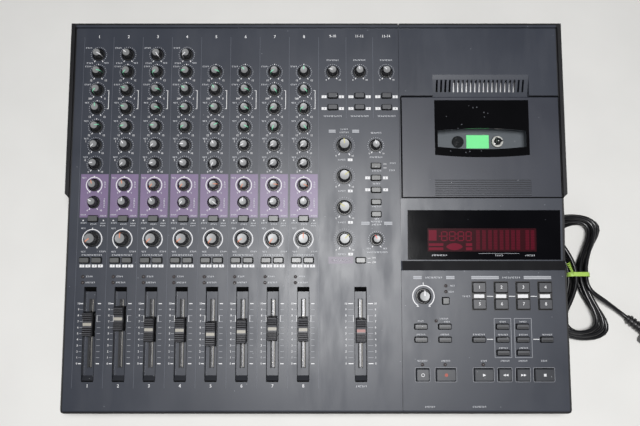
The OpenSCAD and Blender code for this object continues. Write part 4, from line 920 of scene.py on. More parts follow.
groupU, groupRows, groupTurns = 29.2, [273, 240.3, 207.6, 174.9], (-5, 55, -55, 45)
selectU, tapeInV, monitorV = 62.1, 273, 174.8
speedU, speedV = 109.3, 116.9
turningKnobs = [
    ("group_knob_%d" % (i + 1), "big", groupU, groupRows[i], groupTurns[i], "yellow") for i in range(4)
]
turningKnobs += [
    ("tape_in_knob", "small", selectU, tapeInV, -10, "white"),
    ("monitor_knob", "small", selectU, monitorV, -25, "scarlet"),
    ("speed_knob", "big", speedU, speedV, 0, "white"),
]
wellSpots = {
    "small": [spot(*knob[:2]) for knob in smallKnobs],
    "big": [spot(*knob[:2]) for knob in bigKnobs],
}
for nodeName, kind, u, v, turn, colour in turningKnobs:
    place = onPanel @ shift(u, v) @ spun(-turn)
    parts = [(part, place, i) for i, part in enumerate(knobParts[kind])]
    jointPiece(nodeName, "Dial", "_body", "knob", parts, 35, "knob", "cap", colour, "ridge")
    wellSpots[kind].append(spot(u, v))

# wells round the knobs: outer and inner radius, floor and lip; the darker floors and black walls are painted
# shade
wellSettings = {"small": (6.66, 3.5), "big": (8.06, 3.5), "floor": -1.97, "lip": -0.04}
low, lip = wellSettings["floor"], wellSettings["lip"]
for kind, spots in wellSpots.items():
    outer, inner = wellSettings[kind]
    wide, foot = outer - 0.6, outer - 0.75
    cup = hoop(kind + "Cup", [(wide, low), (wide, low + 0.1), (inner, low + 0.1), (inner, low)], 24)
    setOnPoints(kind + "KnobWells", cup, spots, "cup")
    profile = [(outer, low), (outer, lip), (outer - 0.45, lip), (foot, low + 0.12), (foot, low)]
    setOnPoints(kind + "KnobWellWalls", hoop(kind + "Wall", profile, 28), spots, "gap")
print("knobs set")

# fader caps with ribs on a dished top, and their slots; blocks are (width, length, low, high)
faderSettings = {
    "width": 9.3,
    "length": 25.6,
    "height": 9,
    "foot": -4.8,
    "bevel": (0.35, 0.45),
    "dish": 2.2,
    "dishStart": 2.4,
    "dishRun": 7.4,
    "ribs": 4,
    "firstRib": 2.75,
    "ribPitch": 1.86,
    "ribDrop": 0.42,
    "groove": (0.84, 0.43),
    "bar": (8.5, 2.9, 6.5, 6.95),
    "lever": (2, 8, -12.6, -4.6),
    "trim": (1.45, 70, -5.99, -5.9),
    "trimAt": 1.85,
    "glint": (0.62, 68, -5.92, -5.82),
    "glintAt": 1.45,
    "middle": 79.4,
    "places": strips + [45.3],
    "rest": [9.4, 14.9, 4.1, 3.6, -0.4, 2.2, 5, 4.2, 3],
}


def ribFloor(v):
    s = faderSettings
    return s["height"] - s["dish"] + (v - s["dishStart"]) * s["dish"] / s["dishRun"] - s["ribDrop"]


def faderMesh():
    s = faderSettings
    half, top, dished = s["length"] / 2, s["height"], s["height"] - s["dish"]
    right = [(0, dished), (2.3, dished), (2.6, top - 2.1)]
    for k in range(s["ribs"]):
        v = s["firstRib"] + s["ribPitch"] * k
        low = ribFloor(v)
        right += [(v, low - 0.5), (v + 0.06, low + 0.5), (v + 0.94, low + 0.7), (v + 1.0, low - 0.3)]
    right += [(half - 2.6, top - 0.1), (half - 1.9, top - 0.25), (half - 1.2, top - 1)]
    right += [(half - 0.5, 0), (half, s["foot"])]
    profile = [(-v, w) for v, w in reversed(right[1:])] + right
    side, (bevel, drop) = s["width"] / 2, s["bevel"]
    sections = [(-side, drop), (-side + bevel, 0.0), (side - bevel, 0.0), (side, drop)]
    n = len(profile)
    points = [(u, v, w - inset if w > 1 else w) for u, inset in sections for v, w in profile]
    polygons = [tuple(range(n)), tuple(range(3 * n, 4 * n))] + bridge(chain(4), n)
    cap = meshFrom("faderCap", points, polygons, 25)
    for p in cap.polygons:
        outside = abs(p.center.y) > (half - 2) * mm or abs(p.center.x) > (side - 0.1) * mm
        p.material_index = 3 if outside else 0
    return cap


def faderGrooves():
    # dark floors of the grooves between the ribs, painted shade
    s = faderSettings
    wide, back = s["groove"]
    strip = prism("ribGroove", roundedOutline(s["width"] - 0.1, wide, 0.1, 1), -0.7, -0.05)
    parts = []
    for k in range(s["ribs"] + 1):
        v = s["firstRib"] + s["ribPitch"] * k - back
        parts += [(strip, shift(0, side * v, ribFloor(v)), 4) for side in (-1, 1)]
    return joinMeshes("ribGrooves", parts)


def faderBlock(key, corner):
    width, length, low, high = faderSettings[key]
    return prism(key + "Block", roundedOutline(width, length, corner, 1), low, high)


faderCap = faderMesh()
faderBar = faderBlock("bar", 0.2)
faderLines = faderGrooves()
faderLever = faderBlock("lever", 0.3)
faderV = faderSettings["middle"]
faderPlaces = faderSettings["places"]
for i, u in enumerate(faderPlaces):
    nodeName = "fader_%d" % (i + 1) if i < 8 else "stereo_fader"
    place = onPanel @ shift(u, faderV + faderSettings["rest"][i])
    parts = [(faderCap, place), (faderLines, place), (faderBar, place, 1), (faderLever, place, 2)]
    colours = ("fader", "cream" if i < 8 else "reddish", "control", "knob", "gap")
    jointPiece(nodeName, "Cap", "_cap", "fader_cap", parts, 25, *colours)
slotTrim = pad("slotTrim", *faderSettings["trim"], 0.2, 0.05)
trimSpots = [spot(u + side * faderSettings["trimAt"], faderV) for u in faderPlaces for side in (-1, 1)]
setOnPoints("slotTrims", slotTrim, trimSpots, "trim")
# light specked strips beside each slot paint the highlight on the metal below
slotGlint = pad("slotGlint", *faderSettings["glint"], 0.1, 0.04)
glintSpots = [spot(u + faderSettings["glintAt"], faderV) for u in faderPlaces]
setOnPoints("slotGlints", slotGlint, glintSpots, "glint")
print("faders set")

# buttons and keys
buttonHeights = {"button": 2.6, "key": 3.2, "low": -3.8, "stem": -10.0}
buttonFrame = {"gap": 0.4, "thick": 0.75, "corner": 0.4, "high": 0.07}
recColumns, recRows = [166, 188.4, 210.6, 233.1], [125.7, 108.9]
locateAt = [
    (106.2, 86.3), (130.4, 86.3), (106.2, 73.3), (130.4, 73.3), (164.7, 73.3), (188.8, 86.3),
    (188.8, 73.3), (188.8, 60.3), (209.1, 86.3), (209.1, 73.3), (209.1, 60.3), (233.3, 73.3),
]
assignAt = [(u + d, 153.4) for u in strips for d in (-7.2, 5.3)]
stereoInAt = [(u, v) for u in stereoIns for v in (326.2, 313.7)]
monitorAt = [(selectU, 251.4 - 12.65 * k) for k in range(5)] + [(45.7, 153.4)]
recAt = [(u, v) for u in recColumns for v in recRows]
buttonSettings = {
    "flipButtons": ("flip_buttons", (9.4, 5.4), [(u, 196.2) for u in strips], "pale"),
    "assignButtons": ("assign_buttons", (9.2, 4.8), assignAt, "pale"),
    "stereoInButtons": ("stereo_in_buttons", (9.2, 4.8), stereoInAt, "mid"),
    "monitorButtons": ("monitor_buttons", (9.2, 4.8), monitorAt, "pale"),
    "recSelectKeys": ("rec_select_keys", (12.3, 9.2), recAt, "mid", 0.6),
    "locateButtons": ("locate_buttons", (12, 4.4), locateAt, "mid"),
    "setButton": ("locate_buttons", (6, 6), [(131.9, 112.2)], "pale"),
}


def buttonSet(name, node, size, places, key, radius=0.7):
    s, f = buttonHeights, buttonFrame
    spots = [spot(u, v) for u, v in places]
    wide, long = size
    # black frames round the buttons paint the shade in their gaps
    rim = border(name + "Frame", wide + f["gap"], long + f["gap"], f["thick"], f["corner"], f["high"])
    setOnPoints(name + "Frames", rim, spots, "gap")
    cap = pad(name + "Cap", wide, long, s["low"], s["button"], radius, 0.3, s["stem"])
    standIn(setOnPoints(name, cap, spots, key, node + "_set"), node)


for name, row in buttonSettings.items():
    buttonSet(name, *row)
# darker near half of the locate buttons
shadeSettings = {"back": 0.95, "size": (10.6, 1.9, 1)}
shadeTop = buttonHeights["button"]
shadeSpots = [spot(u, v - shadeSettings["back"], shadeTop, 0, shadeSettings["size"]) for u, v in locateAt]
shadeStrip = prism("shadeStrip", square, -0.05, 0.04)
setOnPoints("locateButtonShades", shadeStrip, shadeSpots, "cup", "locate_buttons_set")

# transport keys: place, width and marks on the cap; lines round them are (room, thickness, corner, top)
markTop = buttonHeights["key"] + 0.04
keySettings = {
    "v": 38.4,
    "length": 12.3,
    "corner": 0.9,
    "crown": 1.1,
    "markLow": markTop - 0.1,
    "Gap": (0.6, 0.35, 0.6, 0.05),
    "Line": (1.3, 0.45, 0.9, 0.06),
}


def keyMark(name, outline):
    return prism(name, outline, keySettings["markLow"], markTop)


def triangle(x, reach, half):
    return [(x, -half), (x + reach, 0), (x, half)]


disc = ringOutline(1.15, 1.1, 0, 360, 18)[:19]
box = [(2.6 * x, 2.6 * y) for x, y in square]
hoopMark = arcMesh("returnMark", 1.5, 0.5, 0, fullTurn, keySettings["markLow"], markTop)
keys = {
    "return_key": (107.2, 13.1, [hoopMark]),
    "record_key": (130.6, 19.9, [keyMark("recordMark", disc)]),
    "play_key": (168.6, 19.4, [keyMark("playMark", triangle(-1.4, 3.2, 1.5))]),
    "rewind_key": (189.9, 13.1, [keyMark("rewindMark", triangle(x, -2.6, 1.3)) for x in (0.1, 2.8)]),
    "forward_key": (208.2, 13.3, [keyMark("forwardMark", triangle(x, 2.6, 1.3)) for x in (-2.8, -0.1)]),
    "stop_key": (229.5, 19.6, [keyMark("stopMark", box)]),
}
for nodeName, (u, width, marks) in keys.items():
    s, long = buttonHeights, keySettings["length"]
    edge = keySettings["corner"], keySettings["crown"]
    cap = pad(nodeName, width, long, s["low"], s["key"], *edge, s["stem"])
    place = onPanel @ shift(u, keySettings["v"])
    parts = [(cap, place, 0)] + [(mark, place, 1) for mark in marks]
    ink = "red" if nodeName == "record_key" else "white"
    jointPiece(nodeName, "Cap", "_body", "key", parts, padSettings["angle"], "dark", ink)
    # a black ring paints the shade in each key's gap, and a grey line round it paints the highlight on the
    # hole's edge
    for suffix, colour in (("Gap", "gap"), ("Line", "dim")):
        room, *shape = keySettings[suffix]
        rim = border(cap.name + suffix, width + room, long + room, *shape)
        setOnPoints(cap.name + suffix, rim, [spot(u, keySettings["v"])], colour)
print("buttons set")

# printed marks, gathered by colour and then set as thin plates, dots and numerals
plates, dots, texts = {}, {}, {}


def plate(colour, u, v, width, length, turn=0, face="panel", lift=0.0):
    plates.setdefault((colour, face), []).append(spot(u, v, lift, turn, (width, length, 1)))


def dot(colour, u, v, size):
    dots.setdefault(colour, []).append(spot(u, v, 0, 0, (size, size, 1)))


def numeral(text, u, v, size, lift=0.03, colour="white", body="case"):
    texts.setdefault((colour, text, body), []).append(spot(u, v, lift, 0, (size, size, 1)))


def boxed(text, u, v, width, length, size):
    # dark numeral on a white box
    plate("white", u, v, width, length)
    numeral(text, u, v, size, 0.07, "black")


def zeroToTen(left, right, v, size=1.7, lift=0.03):
    numeral("0", left, v, size, lift)
    numeral("10", right, v, size, lift)


# strokes of a word by kind of letter: place of the upright, of the upper bar and of the lower bar
wordSettings = {
    "kinds": ((-0.35, 0.5, -0.5), (0.35, 0.42, -0.1), (0, -0.46, 0.1), (0.2, 0.5, -0.42)),
    "letter": 0.74,
    "thick": (0.35, 0.33, 0.3),
    "lowerShare": 0.7,
    "margin": 0.36,
}


def word(u, v, letters, pitch=1.65, tall=1.5, upright=False, face="panel"):
    # broken strokes where a printed word stands, with no letter among them
    def stroke(x, y, wide, high):
        if upright:
            plate("soft", u - y, v - x, high, wide, 0, face)
        else:
            plate("soft", u + x, v + y, wide, high, 0, face)

    s = wordSettings
    wide, room = pitch * s["letter"], tall - s["margin"]
    for k in range(letters):
        start = (k - (letters - 1) / 2) * pitch
        post, upper, lower = s["kinds"][(k * 7 + letters * 3) % 4]
        stroke(start + post * wide, 0, s["thick"][0], tall)
        stroke(start, upper * room, wide, s["thick"][1])
        stroke(start + 0.1 * wide, lower * room, wide * s["lowerShare"], s["thick"][2])


headingSettings = {"bar": 2.1, "line": 0.4, "lineAt": 1.25}


def headingBar(u, v, wide):
    s = headingSettings
    plate("dim", u, v, wide, s["bar"])
    for d in (-s["lineAt"], s["lineAt"]):
        plate("soft", u, v + d, wide, s["line"])


# rings of marks round the knobs run from one end of the turn to the other, in degrees
ringSettings = {"start": -150, "sweep": 300, "dots": 21, "end": (0.9, 1.7), "topSize": 1.3, "topLift": 0.1}


def dotRing(u, v, radius, top=False, colour="soft", size=0.66):
    s = ringSettings
    last = s["dots"] - 1
    for k in range(s["dots"]):
        a = radians(s["start"] + s["sweep"] * k / last)
        x, y = u + radius * sin(a), v + radius * cos(a)
        if k in (0, last):
            plate("white", x, y, *s["end"], -degrees(a))
        elif k == last / 2 and top:
            dot("white", x, y + s["topLift"], s["topSize"])
        else:
            dot(colour, x, y, size)


def dashRing(u, v, near, far, count=25):
    r = (near + far) / 2
    for k in range(count):
        a = radians(ringSettings["start"] + ringSettings["sweep"] * k / (count - 1))
        colour, wide, share = ("white", 1.0, 1.8) if k in (0, count - 1) else ("dim", 0.45, 1)
        plate(colour, u + r * sin(a), v + r * cos(a), wide, (far - near) * share, -degrees(a))


scaleSettings = {"first": 49.4, "pitch": 6, "bracket": 45, "bracketLength": 6.4}


def faderScale(u, leftTicks, rightTicks, numbers):
    s = scaleSettings
    for k in range(11):
        v = s["first"] + s["pitch"] * k
        colour, thick = ("white", 0.9) if k in (0, 10) else ("dim", 0.5)
        for a, b in (leftTicks, rightTicks):
            plate(colour, u + (a + b) / 2, v, b - a, thick)
        for d in numbers:
            numeral(str(k), u + d, v, 2.0)
    for d in (leftTicks[1] + 0.2, rightTicks[0] - 0.2):
        plate("white", u + d, s["first"] + s["bracket"], 0.5, s["bracketLength"])


# channel strips: words as (place beside the strip's middle, v, letters, pitch, height, upright)
gainWords = [(-10.7, 378.1, 4), (-9.3, 361.5, 4), (8.1, 361.7, 3)]
toneMarks = [(4, "12", "12"), (4, "200", "5"), (3, "12", "12"), (3, "12", "12")]
stripWords = [
    (-10.6, 238.8, 3), (11.3, 231.8, 3, 2.5, 1.5, True), (11, 212.7, 6, 1.7, 1.4, True),
    (-6.6, 223, 1, 1.6), (7.6, 223, 1, 1.6), (-10.1, 200.3, 4, 1.4, 1.2), (10.5, 199.2, 4, 1.5, 1.3),
    (-9.5, 191.8, 4, 1.5, 1.3), (0.5, 190.6, 4, 1.6, 1.4), (10.4, 191.4, 4, 1.3, 1.1),
    (10.1, 189, 4, 1.3, 1.1), (-9.7, 186.2, 3), (-8.9, 162.2, 3), (10.9, 162.4, 4),
    (0.1, 158.8, 12, 1.75, 1.5), (-1.6, 136.9, 4), (-0.6, 130.8, 6),
]
stripSettings = {"numbers": ((0, 390.3), (0.2, 27.3)), "numberSize": 3.2, "boxes": (-9.45, -3.45, 3.15, 9.3)}
for i, u in enumerate(strips):
    for d, v in stripSettings["numbers"]:
        numeral(str(i + 1), u + d, v, stripSettings["numberSize"])
    if i < 4:
        for d, *rest in gainWords:
            word(u + d, *rest)
        dotRing(u, gainV, 8.25)
    for k, v in enumerate(toneRows):
        dotRing(u, v, 8.25, k < 4)
        if k < 4:
            letters, left, right = toneMarks[k]
            word(u - 10.8, v + 6.1, letters)
            numeral(left, u - 7.4, v - 9.1, 1.9)
            numeral(right, u + 8, v - 9.1, 1.9)
        else:
            word(u - 10.2, v + 7, 3)
            numeral(str(k - 3), u - 10.4, v + 4, 2.1)
            zeroToTen(u - 6.7, u + 7.4, v - 8.5, 1.9)
    plate("white", u + 11.9, 322, 0.6, 20)
    for v in (312.2, 331.8):
        plate("white", u + 11.1, v, 1.8, 0.6)
    for d, *rest in stripWords:
        word(u + d, *rest)
    dotRing(u, cueLevelV, 8.1, False, "dim", 0.6)
    dot("white", u, cuePanV + 8.9, 1.5)
    zeroToTen(u - 6.3, u + 7.8, 204.7, 1.7, 0.04)
    for d in (-10, 10.8):
        plate("white", u + d, 194.4, 1.3, 1.3, 45)
    plate("white", u, panV + 11, 0.9, 1.3)
    for turn in (-149, 149):
        a = radians(turn)
        for v, r in ((panV, 10.1), (cuePanV, 8.2)):
            plate("white", u + r * sin(a), v + r * cos(a), 1.2, 1.9, -turn)
    for k, d in enumerate(stripSettings["boxes"]):
        boxed(str(k + 1), u + d, 147.6, 5, 2.8, 1.8)
    faderScale(u, (-9.7, -6.9), (8.0, 11.4), (-11.3,))
for k in range(9):
    plate("line", -245.5 + panel["pitch"] * k, 207.5, 0.5, 365)
for u in (31.5, 59.8):
    plate("line", u, 346, 0.5, 88)

# master section: words as (u, v, letters, pitch, height)
masterWords = [
    (29.1, 290.2, 5), (29.1, 287, 6), (62.5, 286.4, 7), (62.3, 260.6, 8), (79.6, 254.3, 4, 1.5),
    (78.8, 246.8, 4, 1.5), (62.6, 246.3, 6), (62.4, 232.8, 5), (62.4, 209, 6), (62.4, 196, 3),
    (62.1, 193.2, 7), (62.1, 190.1, 6), (53.8, 165.4, 3, 1.4), (70.7, 165.4, 3, 1.4), (62.6, 161.7, 13),
    (25.4, 153.5, 10, 1.9, 2.0), (45.4, 27, 6, 1.9, 1.8),
]
for k, u in enumerate(stereoIns):
    numeral(("9-10", "11-12", "13-14")[k], u, 391, 2.8)
    word(u - 0.1, 364.8, 8, 1.6)
    dotRing(u, stereoInV, 8.25)
    zeroToTen(u - 6.9, u + 7.4, 343.2)
    for row, v in enumerate((325.1, 312.4)):
        for side, d in enumerate((-9.1, 9.1)):
            boxed(str(2 * row + side + 1), u + d, v, 5.2, 2.9, 1.9)
    word(u - 0.2, 304.3, 11, 1.75)
for row in masterWords:
    word(*row)
for u, v, wide in ((16.7, 288.2, 7.1), (41.3, 288.2, 7.1), (50.8, 191.5, 8.6), (74.2, 191.5, 8.6)):
    headingBar(u, v, wide)
for i, v in enumerate(groupRows):
    dashRing(groupU, v, 10.1, 11.3)
    word(26.4, v - 15.2, 5)
    boxed(str(i + 1), 35.4, v - 15.2, 4.9, 2.7, 1.8)
    zeroToTen(20.7, 37.9, v - 11)
for v in (tapeInV, monitorV):
    dotRing(selectU, v, 8.4, False, "soft", 0.6)
zeroToTen(55.3, 69.9, 264.4)
for row, v in enumerate((238.8, 226.3)):
    for side, u in enumerate((53.4, 71.9)):
        boxed(str(2 * row + side + 1), u, v, 5, 2.9, 1.8)
for u, v, wide in ((71.5, 253.4, 3.4), (71.5, 249.3, 3.4), (54.2, 155.5, 3), (54.2, 151.2, 3)):
    plate("white", u, v, wide, 0.5)
numeral("ON", 59.1, 155.9, 1.7)
numeral("OFF", 59.5, 151.2, 1.7)
plate("mauve", 25.4, 153.5, 25.4, 7.1)
faderScale(faderPlaces[8], (-12.6, -7.6), (7.6, 12.6), (-15, 15))

# deck: words as (u, v, letters, pitch, height)
deckWords = [
    (120, 135.8, 10, 1.75, 1.7), (199, 135.8, 10, 1.85, 1.7), (139, 127.5, 3), (137.6, 121.4, 4, 1.3),
    (152.8, 116.8, 5), (114.1, 7, 6, 1.7), (163.6, 7, 8, 1.7),
]
locateWords = [
    (129.6, 94.3, 6), (132.8, 91.2, 4), (106, 78.4, 6), (130.2, 78.4, 6), (164.7, 78.4, 8),
    (189.1, 91.2, 4), (189.1, 78.2, 7), (189.1, 64.9, 6), (209.6, 91.2, 5), (209.6, 78.2, 6),
    (209.6, 64.9, 6), (233.9, 78.2, 7), (106, 91.8, 4),
]
for row in deckWords:
    word(*row)
for row in locateWords:
    word(*row, 1.5, 1.4)
for u, letters in ((107, 7), (130.6, 6), (169.1, 4), (190.4, 6), (208.4, 6), (229.9, 4)):
    word(u, 52.2, letters, 1.5, 1.5)
for u, wide in ((103.5, 8.6), (137, 8.6), (172.5, 28), (226, 28)):
    headingBar(u, 135.8, wide)
plate("white", speedU, 129.6, 0.9, 2.2)
for u in (103.4, 115.3):
    plate("white", u, 106.6, 2.2, 0.6)
# black plates under the rec keys paint the shade of the recess round them; the white strips are print
for u in recColumns:
    plate("black", u, 117.3, 15, 29.6, lift=-0.01)
    plate("white", u, 116.9, 10.5, 3.6, lift=0.03)
for u in (177.1, 199.5, 221.7):
    plate("white", u, 116.8, 6.4, 0.7)
for u in (176.1, 222.8):
    plate("white", u, 73.6, 6.3, 0.7)
for left, right in ((180.6, 197.5), (201, 218.3)):
    for v in (55.4, 94.5):
        plate("dim", (left + right) / 2, v, right - left, 0.5)
    for u in (left, right):
        plate("dim", u, 74.95, 0.5, 39.1)
for k in range(8):
    u, v = recColumns[k % 4], recRows[k // 4] + 0.2
    numeral(str(k + 1), u, v, 3.2, 2.64, body="rec_select_keys_set")

# display: words, the red field with its digits, and the level bars
displaySettings = {
    "digits": ((132.2, 6.8), (140.4, 7), (149.3, 7), (157.2, 6.4)),
    "digitV": 25.4,
    "stroke": 1.1,
    "barColumns": (166.9, 173.1, 179.3, 185, 191.2, 197.1, 203, 208.4, 217.8, 223.2),
    "barFirst": 12.3,
    "barPitch": 1.68,
    "lowerV": 14.6,
}


def segment(u, v, width, length, colour="segment"):
    plate(colour, u, v, width, length, face="display", lift=0.02)


def displayMarks():
    s = displaySettings
    middle, thick, lower = s["digitV"], s["stroke"], s["lowerV"]
    for u, v, letters, pitch in ((127, 5.8, 10, 1.6), (188.4, 5.6, 5, 1.7), (220.4, 5.6, 6, 1.7)):
        word(u, v, letters, pitch, 1.5, False, "display")
    plate("dim", 188.3, 7.6, 41.8, 0.35, face="display")
    plate("tube", 171.0, 21.5, 112.2, 23.8, face="display", lift=-0.01)
    segment(120.2, 26.3, 8.1, 10.9)
    for u, wide in s["digits"]:
        for x in (-0.5, 0.5):
            for y in (-2.3, 2.3):
                segment(u + x * (wide - 1.2), middle + y, thick, 4.0)
        for y in (-4.5, 0, 4.5):
            segment(u, middle + y, wide - 2.4, thick)
    segment(128.1, middle, 3.2, thick)
    for d in (-2.2, 2.2):
        segment(144.9, middle + d, thick, thick)
    for d in (-2.1, 2.1):
        segment(123.6, lower + d, 15, 2.7)
        segment(157.6, lower + d, 6.4, 3.0)
    for u in s["barColumns"]:
        for k in range(12):
            segment(u, s["barFirst"] + s["barPitch"] * k, 3.9, 1.42, "bars")


displayMarks()
octagon = [(0.5 * cos(a), 0.5 * sin(a)) for a in turnsOf(8)]
thinDot = prism("inkDot", octagon, inkLow, inkHigh)
for (colour, face), spots in sorted(plates.items()):
    name = "plates" + colour.capitalize() + face.capitalize()
    setOnPoints(name, thinPlate, spots, colour, "case", face)
for colour, spots in sorted(dots.items()):
    setOnPoints("dots" + colour.capitalize(), thinDot, spots, colour)
textMeshes = {}
for (colour, text, body), spots in sorted(texts.items()):
    if text not in textMeshes:
        textMeshes[text] = textMesh(text)
    name = "numeral" + text.replace("-", "to") + colour.capitalize() + ("" if body == "case" else "Keys")
    setOnPoints(name, textMeshes[text], spots, colour, body)

# violet plates behind the cue knobs, pierced round their wells
violetSettings = {"v": 220.1, "width": 28.6, "length": 45.2, "shift": 0.4, "lift": -0.005, "hole": 6.62}


def violetPanels():
    s = violetSettings
    holes = [(-s["shift"], v - s["v"]) for v in (cuePanV, cueLevelV)]
    mesh = piercedPlate("violetPlate", s["width"], s["length"], holes, s["hole"])
    setOnPoints("violetPanels", mesh, [spot(u + s["shift"], s["v"], s["lift"]) for u in strips], "violet")


violetPanels()

# arcs round the knobs, as (radius, thickness, reach in degrees, steps, spots), and the eye of the display
arcSettings = {
    "cueArcs": (8.15, 0.85, 150, 40, [spot(u, cuePanV, 0.03) for u in strips]),
    "panArcs": (9.9, 0.95, 149, 48, [spot(u, panV) for u in strips]),
    "speedArc": (10.9, 1.0, 150, 48, [spot(speedU, speedV)]),
}
for name, (radius, thick, reach, steps, spots) in arcSettings.items():
    setOnPoints(name, arcMesh(name, radius, thick, -reach, reach, steps=steps), spots, "white")
eyeOutline = [(8.4 * cos(a), 3.6 * sin(a) * abs(sin(a)) ** 0.3) for a in turnsOf(28)]
reelEye = prism("reelEye", eyeOutline, inkLow, 0.07)
eyeSpot = spot(142.6, displaySettings["lowerV"], 0.01)
setOnPoints("displayEye", reelEye, [eyeSpot], "segment", "case", "display")
print("prints set")

# lamps with their black rings
lampPlaces = [(u - 8.1, v) for u in strips for v in (136.6, 130.6)]
lampPlaces += [(132.3, 127.4), (132.3, 121.5), (121.8, 92), (107.2, 48.4), (130.1, 48.4), (168.4, 48.4)]
lampSpots = [spot(u, v) for u, v in lampPlaces]
lampSettings = {
    "dome": [(1.28, -9), (1.28, 0.1), (1.1, 0.55), (0.7, 0.85), (0.1, 0.95)],
    "ring": (1.65, 0.5),
    "ringTop": 0.1,
}
lampDome = lathe("lampDome", lampSettings["dome"], 14)
standIn(setOnPoints("lampDomes", lampDome, lampSpots, "lamp"), "indicator_lamps")
lampRing = arcMesh("lampRing", *lampSettings["ring"], 0, fullTurn, inkLow, lampSettings["ringTop"], 18)
setOnPoints("lampRings", lampRing, lampSpots, "ring")

# sloping ends of the fader recesses, black at the back as painted shade, and dark lines along their edges,
# also painted shade
recessSettings = {
    "half": 5.95,
    "slope": ((42.5, -5.98), (42.2, -5.9), (46.75, -0.1), (46.95, -0.1)),
    "sideLine": (6.1, 0.4, 93.6),
    "frontLine": (32.0, 12, 1.5),
}


def buildRecesses():
    s = recessSettings
    points = [(x, y, z) for x in (-s["half"], s["half"]) for y, z in s["slope"]]
    end = meshFrom("recessEnd", points, [(0, 1, 2, 3), (4, 5, 6, 7)] + bridge([(0, 1)], 4))
    setOnPoints("recessEnds", end, [spot(u, faderV) for u in faderPlaces], "gap")
    setOnPoints("recessRamps", end, [spot(u, faderV, 0, 180) for u in faderPlaces], "dark")
    away, thick, long = s["sideLine"]
    frontV, wide, deep = s["frontLine"]
    lines = []
    for u in faderPlaces:
        lines += [spot(u + side * away, faderV, 0, 0, (thick, long, 1)) for side in (-1, 1)]
        lines.append(spot(u, frontV, 0, 0, (wide, deep, 1)))
    setOnPoints("recessLines", thinPlate, lines, "gap")


buildRecesses()

# lid window: gloss frame with a clear zone
windowSettings = {
    "outer": {"half": 49.25, "front": 263.15, "back": 321.35, "bowFront": 2.5, "bowBack": 0},
    "inner": {"half": 46.2, "front": 271.8, "back": 288.8, "bowFront": 2.6, "bowBack": 2.6},
    "top": -0.3,
    "low": -2.1,
    "paneLow": -1.6,
    "paneTop": -0.35,
}


def bowed(half, front, back, bowFront, bowBack, steps=16):
    across = [-half + 2 * half * k / steps for k in range(steps + 1)]
    outline = [(x, front - bowFront * (1 - (x / half) ** 2)) for x in across]
    outline += [(-x, back + bowBack * (1 - (x / half) ** 2)) for x in across]
    return [(x + panel["deckMiddle"], y) for x, y in outline]


def buildWindow():
    s = windowSettings
    outer, inner = bowed(**s["outer"]), bowed(**s["inner"])
    mesh = ringOf("windowFrame", outer, inner, s["low"], s["top"])
    mesh.transform(onPanel)
    standIn(addPiece("windowFrame", mesh, "lid_door", "window"), "lid_window")
    pane = prism("windowPane", inner, s["paneLow"], s["paneTop"])
    pane.transform(onPanel)
    addPiece("windowPane", pane, "lid_door", "clear")


buildWindow()

# dark lines round the lid and in its grip, painted shade in the gaps and grooves
lidSettings = {
    "left": 89.3,
    "right": 254.3,
    "front": 218.5,
    "back": 325.5,
    "hinge": (122.5, 224),
    "gripLine": (99.8, 0.6),
    "gripFirst": 220.6,
    "gripPitch": 2.25,
    "gripDepth": -0.78,
    "gripCount": 8,
}


def lidLines():
    s = lidSettings
    left, right, long = s["left"], s["right"], s["back"] - s["front"]
    middle = s["front"] + long / 2
    spots = [
        spot(left - 0.45, middle, 0, 0, (1.3, long, 1)),
        spot(right + 0.3, middle, 0, 0, (0.6, long, 1)),
        spot((left + right) / 2, s["front"] - 0.4, 0, 0, (right - left + 2.2, 1.1, 1)),
    ]
    for a, b in ((left, s["hinge"][0]), (s["hinge"][1], right)):
        spots.append(spot((a + b) / 2, s["back"] + 0.4, 0, 0, (b - a, 1.1, 1)))
    setOnPoints("lidGapLines", thinPlate, spots, "gap")
    rows = [s["gripFirst"] + s["gripPitch"] * k for k in range(s["gripCount"])]
    grip = [spot(panel["deckMiddle"], v, s["gripDepth"], 0, (*s["gripLine"], 1)) for v in rows]
    setOnPoints("lidGripLines", thinPlate, grip, "trim", "lid_door")


lidLines()

# take-up hub: white ring with a dark fluted post
hubSettings = {"place": (194.5, 281.5, -22), "ring": 6, "hole": 3.9, "finAt": 2.4, "gear": 11, "tooth": 0.8}


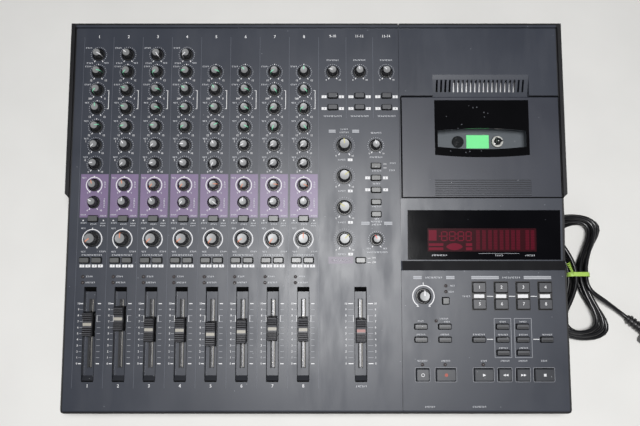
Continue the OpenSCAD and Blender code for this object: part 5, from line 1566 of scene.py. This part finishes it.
def buildHub():
    s = hubSettings
    wave = (0, 0, s["tooth"], s["tooth"])
    middle, wide = (s["ring"] + s["hole"]) / 2, s["ring"] - s["hole"]
    ring = arcMesh("hubRing", middle, wide, 0, fullTurn, 0, 2, 40)
    post = [(3.95, 0.2), (3.95, 1.2), (3.2, 1.3), (2.6, 1.6), (2.6, 8.6), (2.2, 9.6), (1.2, 10), (0.2, 10)]
    gear = lathe("hubGear", [(s["gear"], -5.5, 1), (s["gear"], -2.5, 1)], 88, lambda k: wave[k % 4])
    shaft = lathe("hubShaft", [(2, -16), (2, -5.6), (2, -2.4), (2, 0.4)], 20)
    side, tip = roundedOutline(4.2, 1.3, 0.4), roundedOutline(3, 0.9, 0.3)
    fin = layered("hubFin", [(side, 1), (side, 7), (tip, 8.4)])
    parts = [(ring, Matrix(), 0), (lathe("hubBase", post), Matrix(), 1), (gear, Matrix(), 1)]
    parts.append((shaft, Matrix(), 2))
    parts += [(fin, spun(turn) @ shift(s["finAt"], 0), 1) for turn in (0, 120, 240)]
    mesh = joinMeshes("takeupHub", parts)
    mesh.transform(onPanel @ shift(*s["place"]))
    piece = addPiece("takeupHub", mesh, "takeup_hub_reel", "hubLight", "hubDark", "head")
    standIn(piece, "takeup_hub")


buildHub()

# bright bar seen behind the grille slots
grilleSettings = {"size": (66, 11), "heights": (-11.2, -10.3), "edge": (0.4, 0.3), "aside": 4.5, "v": 338}
g = grilleSettings
grilleBar = pad("grilleBar", *g["size"], *g["heights"], *g["edge"])
setOnPoints("grilleBacking", grilleBar, [spot(panel["deckMiddle"] + g["aside"], g["v"])], "white")
print("deck pieces set")

# floor and lights
floorMesh = bpy.data.meshes.new("studioFloor")
floorMesh.from_pydata([(-3, -3, 0), (3, -3, 0), (3, 3, 0), (-3, 3, 0)], [], [(0, 1, 2, 3)])
floorMesh.materials.append(finish["floor"])
studioFloor = bpy.data.objects.new("studioFloor", floorMesh)
scene.collection.objects.link(studioFloor)

lightSettings = {
    "keyLight": {"place": (0.05, -0.2, 1.27), "aim": (0.03, 0.02, 0.07), "size": 0.3, "power": 16.5},
    "leftFill": {"place": (-1.9, 0.1, 0.9), "aim": (0, 0, 0), "size": 1.2, "power": 4.0},
    "rightFill": {"place": (1.9, 0.3, 0.9), "aim": (0, 0, 0), "size": 1.2, "power": 1.5},
    "frontFill": {"place": (0.3, -1.9, 0.9), "aim": (0, 0, 0), "size": 1.4, "power": 5.0},
}
worldSettings = {"colour": (0.95, 0.97, 1.0, 1), "strength": 0.1}
for name, s in lightSettings.items():
    data = bpy.data.lights.new(name, "AREA")
    data.size = s["size"]
    data.energy = s["power"]
    light = bpy.data.objects.new(name, data)
    light.location = s["place"]
    light.rotation_euler = (Vector(s["aim"]) - Vector(s["place"])).to_track_quat("-Z", "Y").to_euler()
    scene.collection.objects.link(light)
world = bpy.data.worlds.new("studioWorld")
world.use_nodes = True
backdrop = next(n for n in world.node_tree.nodes if n.type == "BACKGROUND")
backdrop.inputs["Color"].default_value = worldSettings["colour"]
backdrop.inputs["Strength"].default_value = worldSettings["strength"]
scene.world = world
scene.view_settings.view_transform = "Standard"
print("light set")
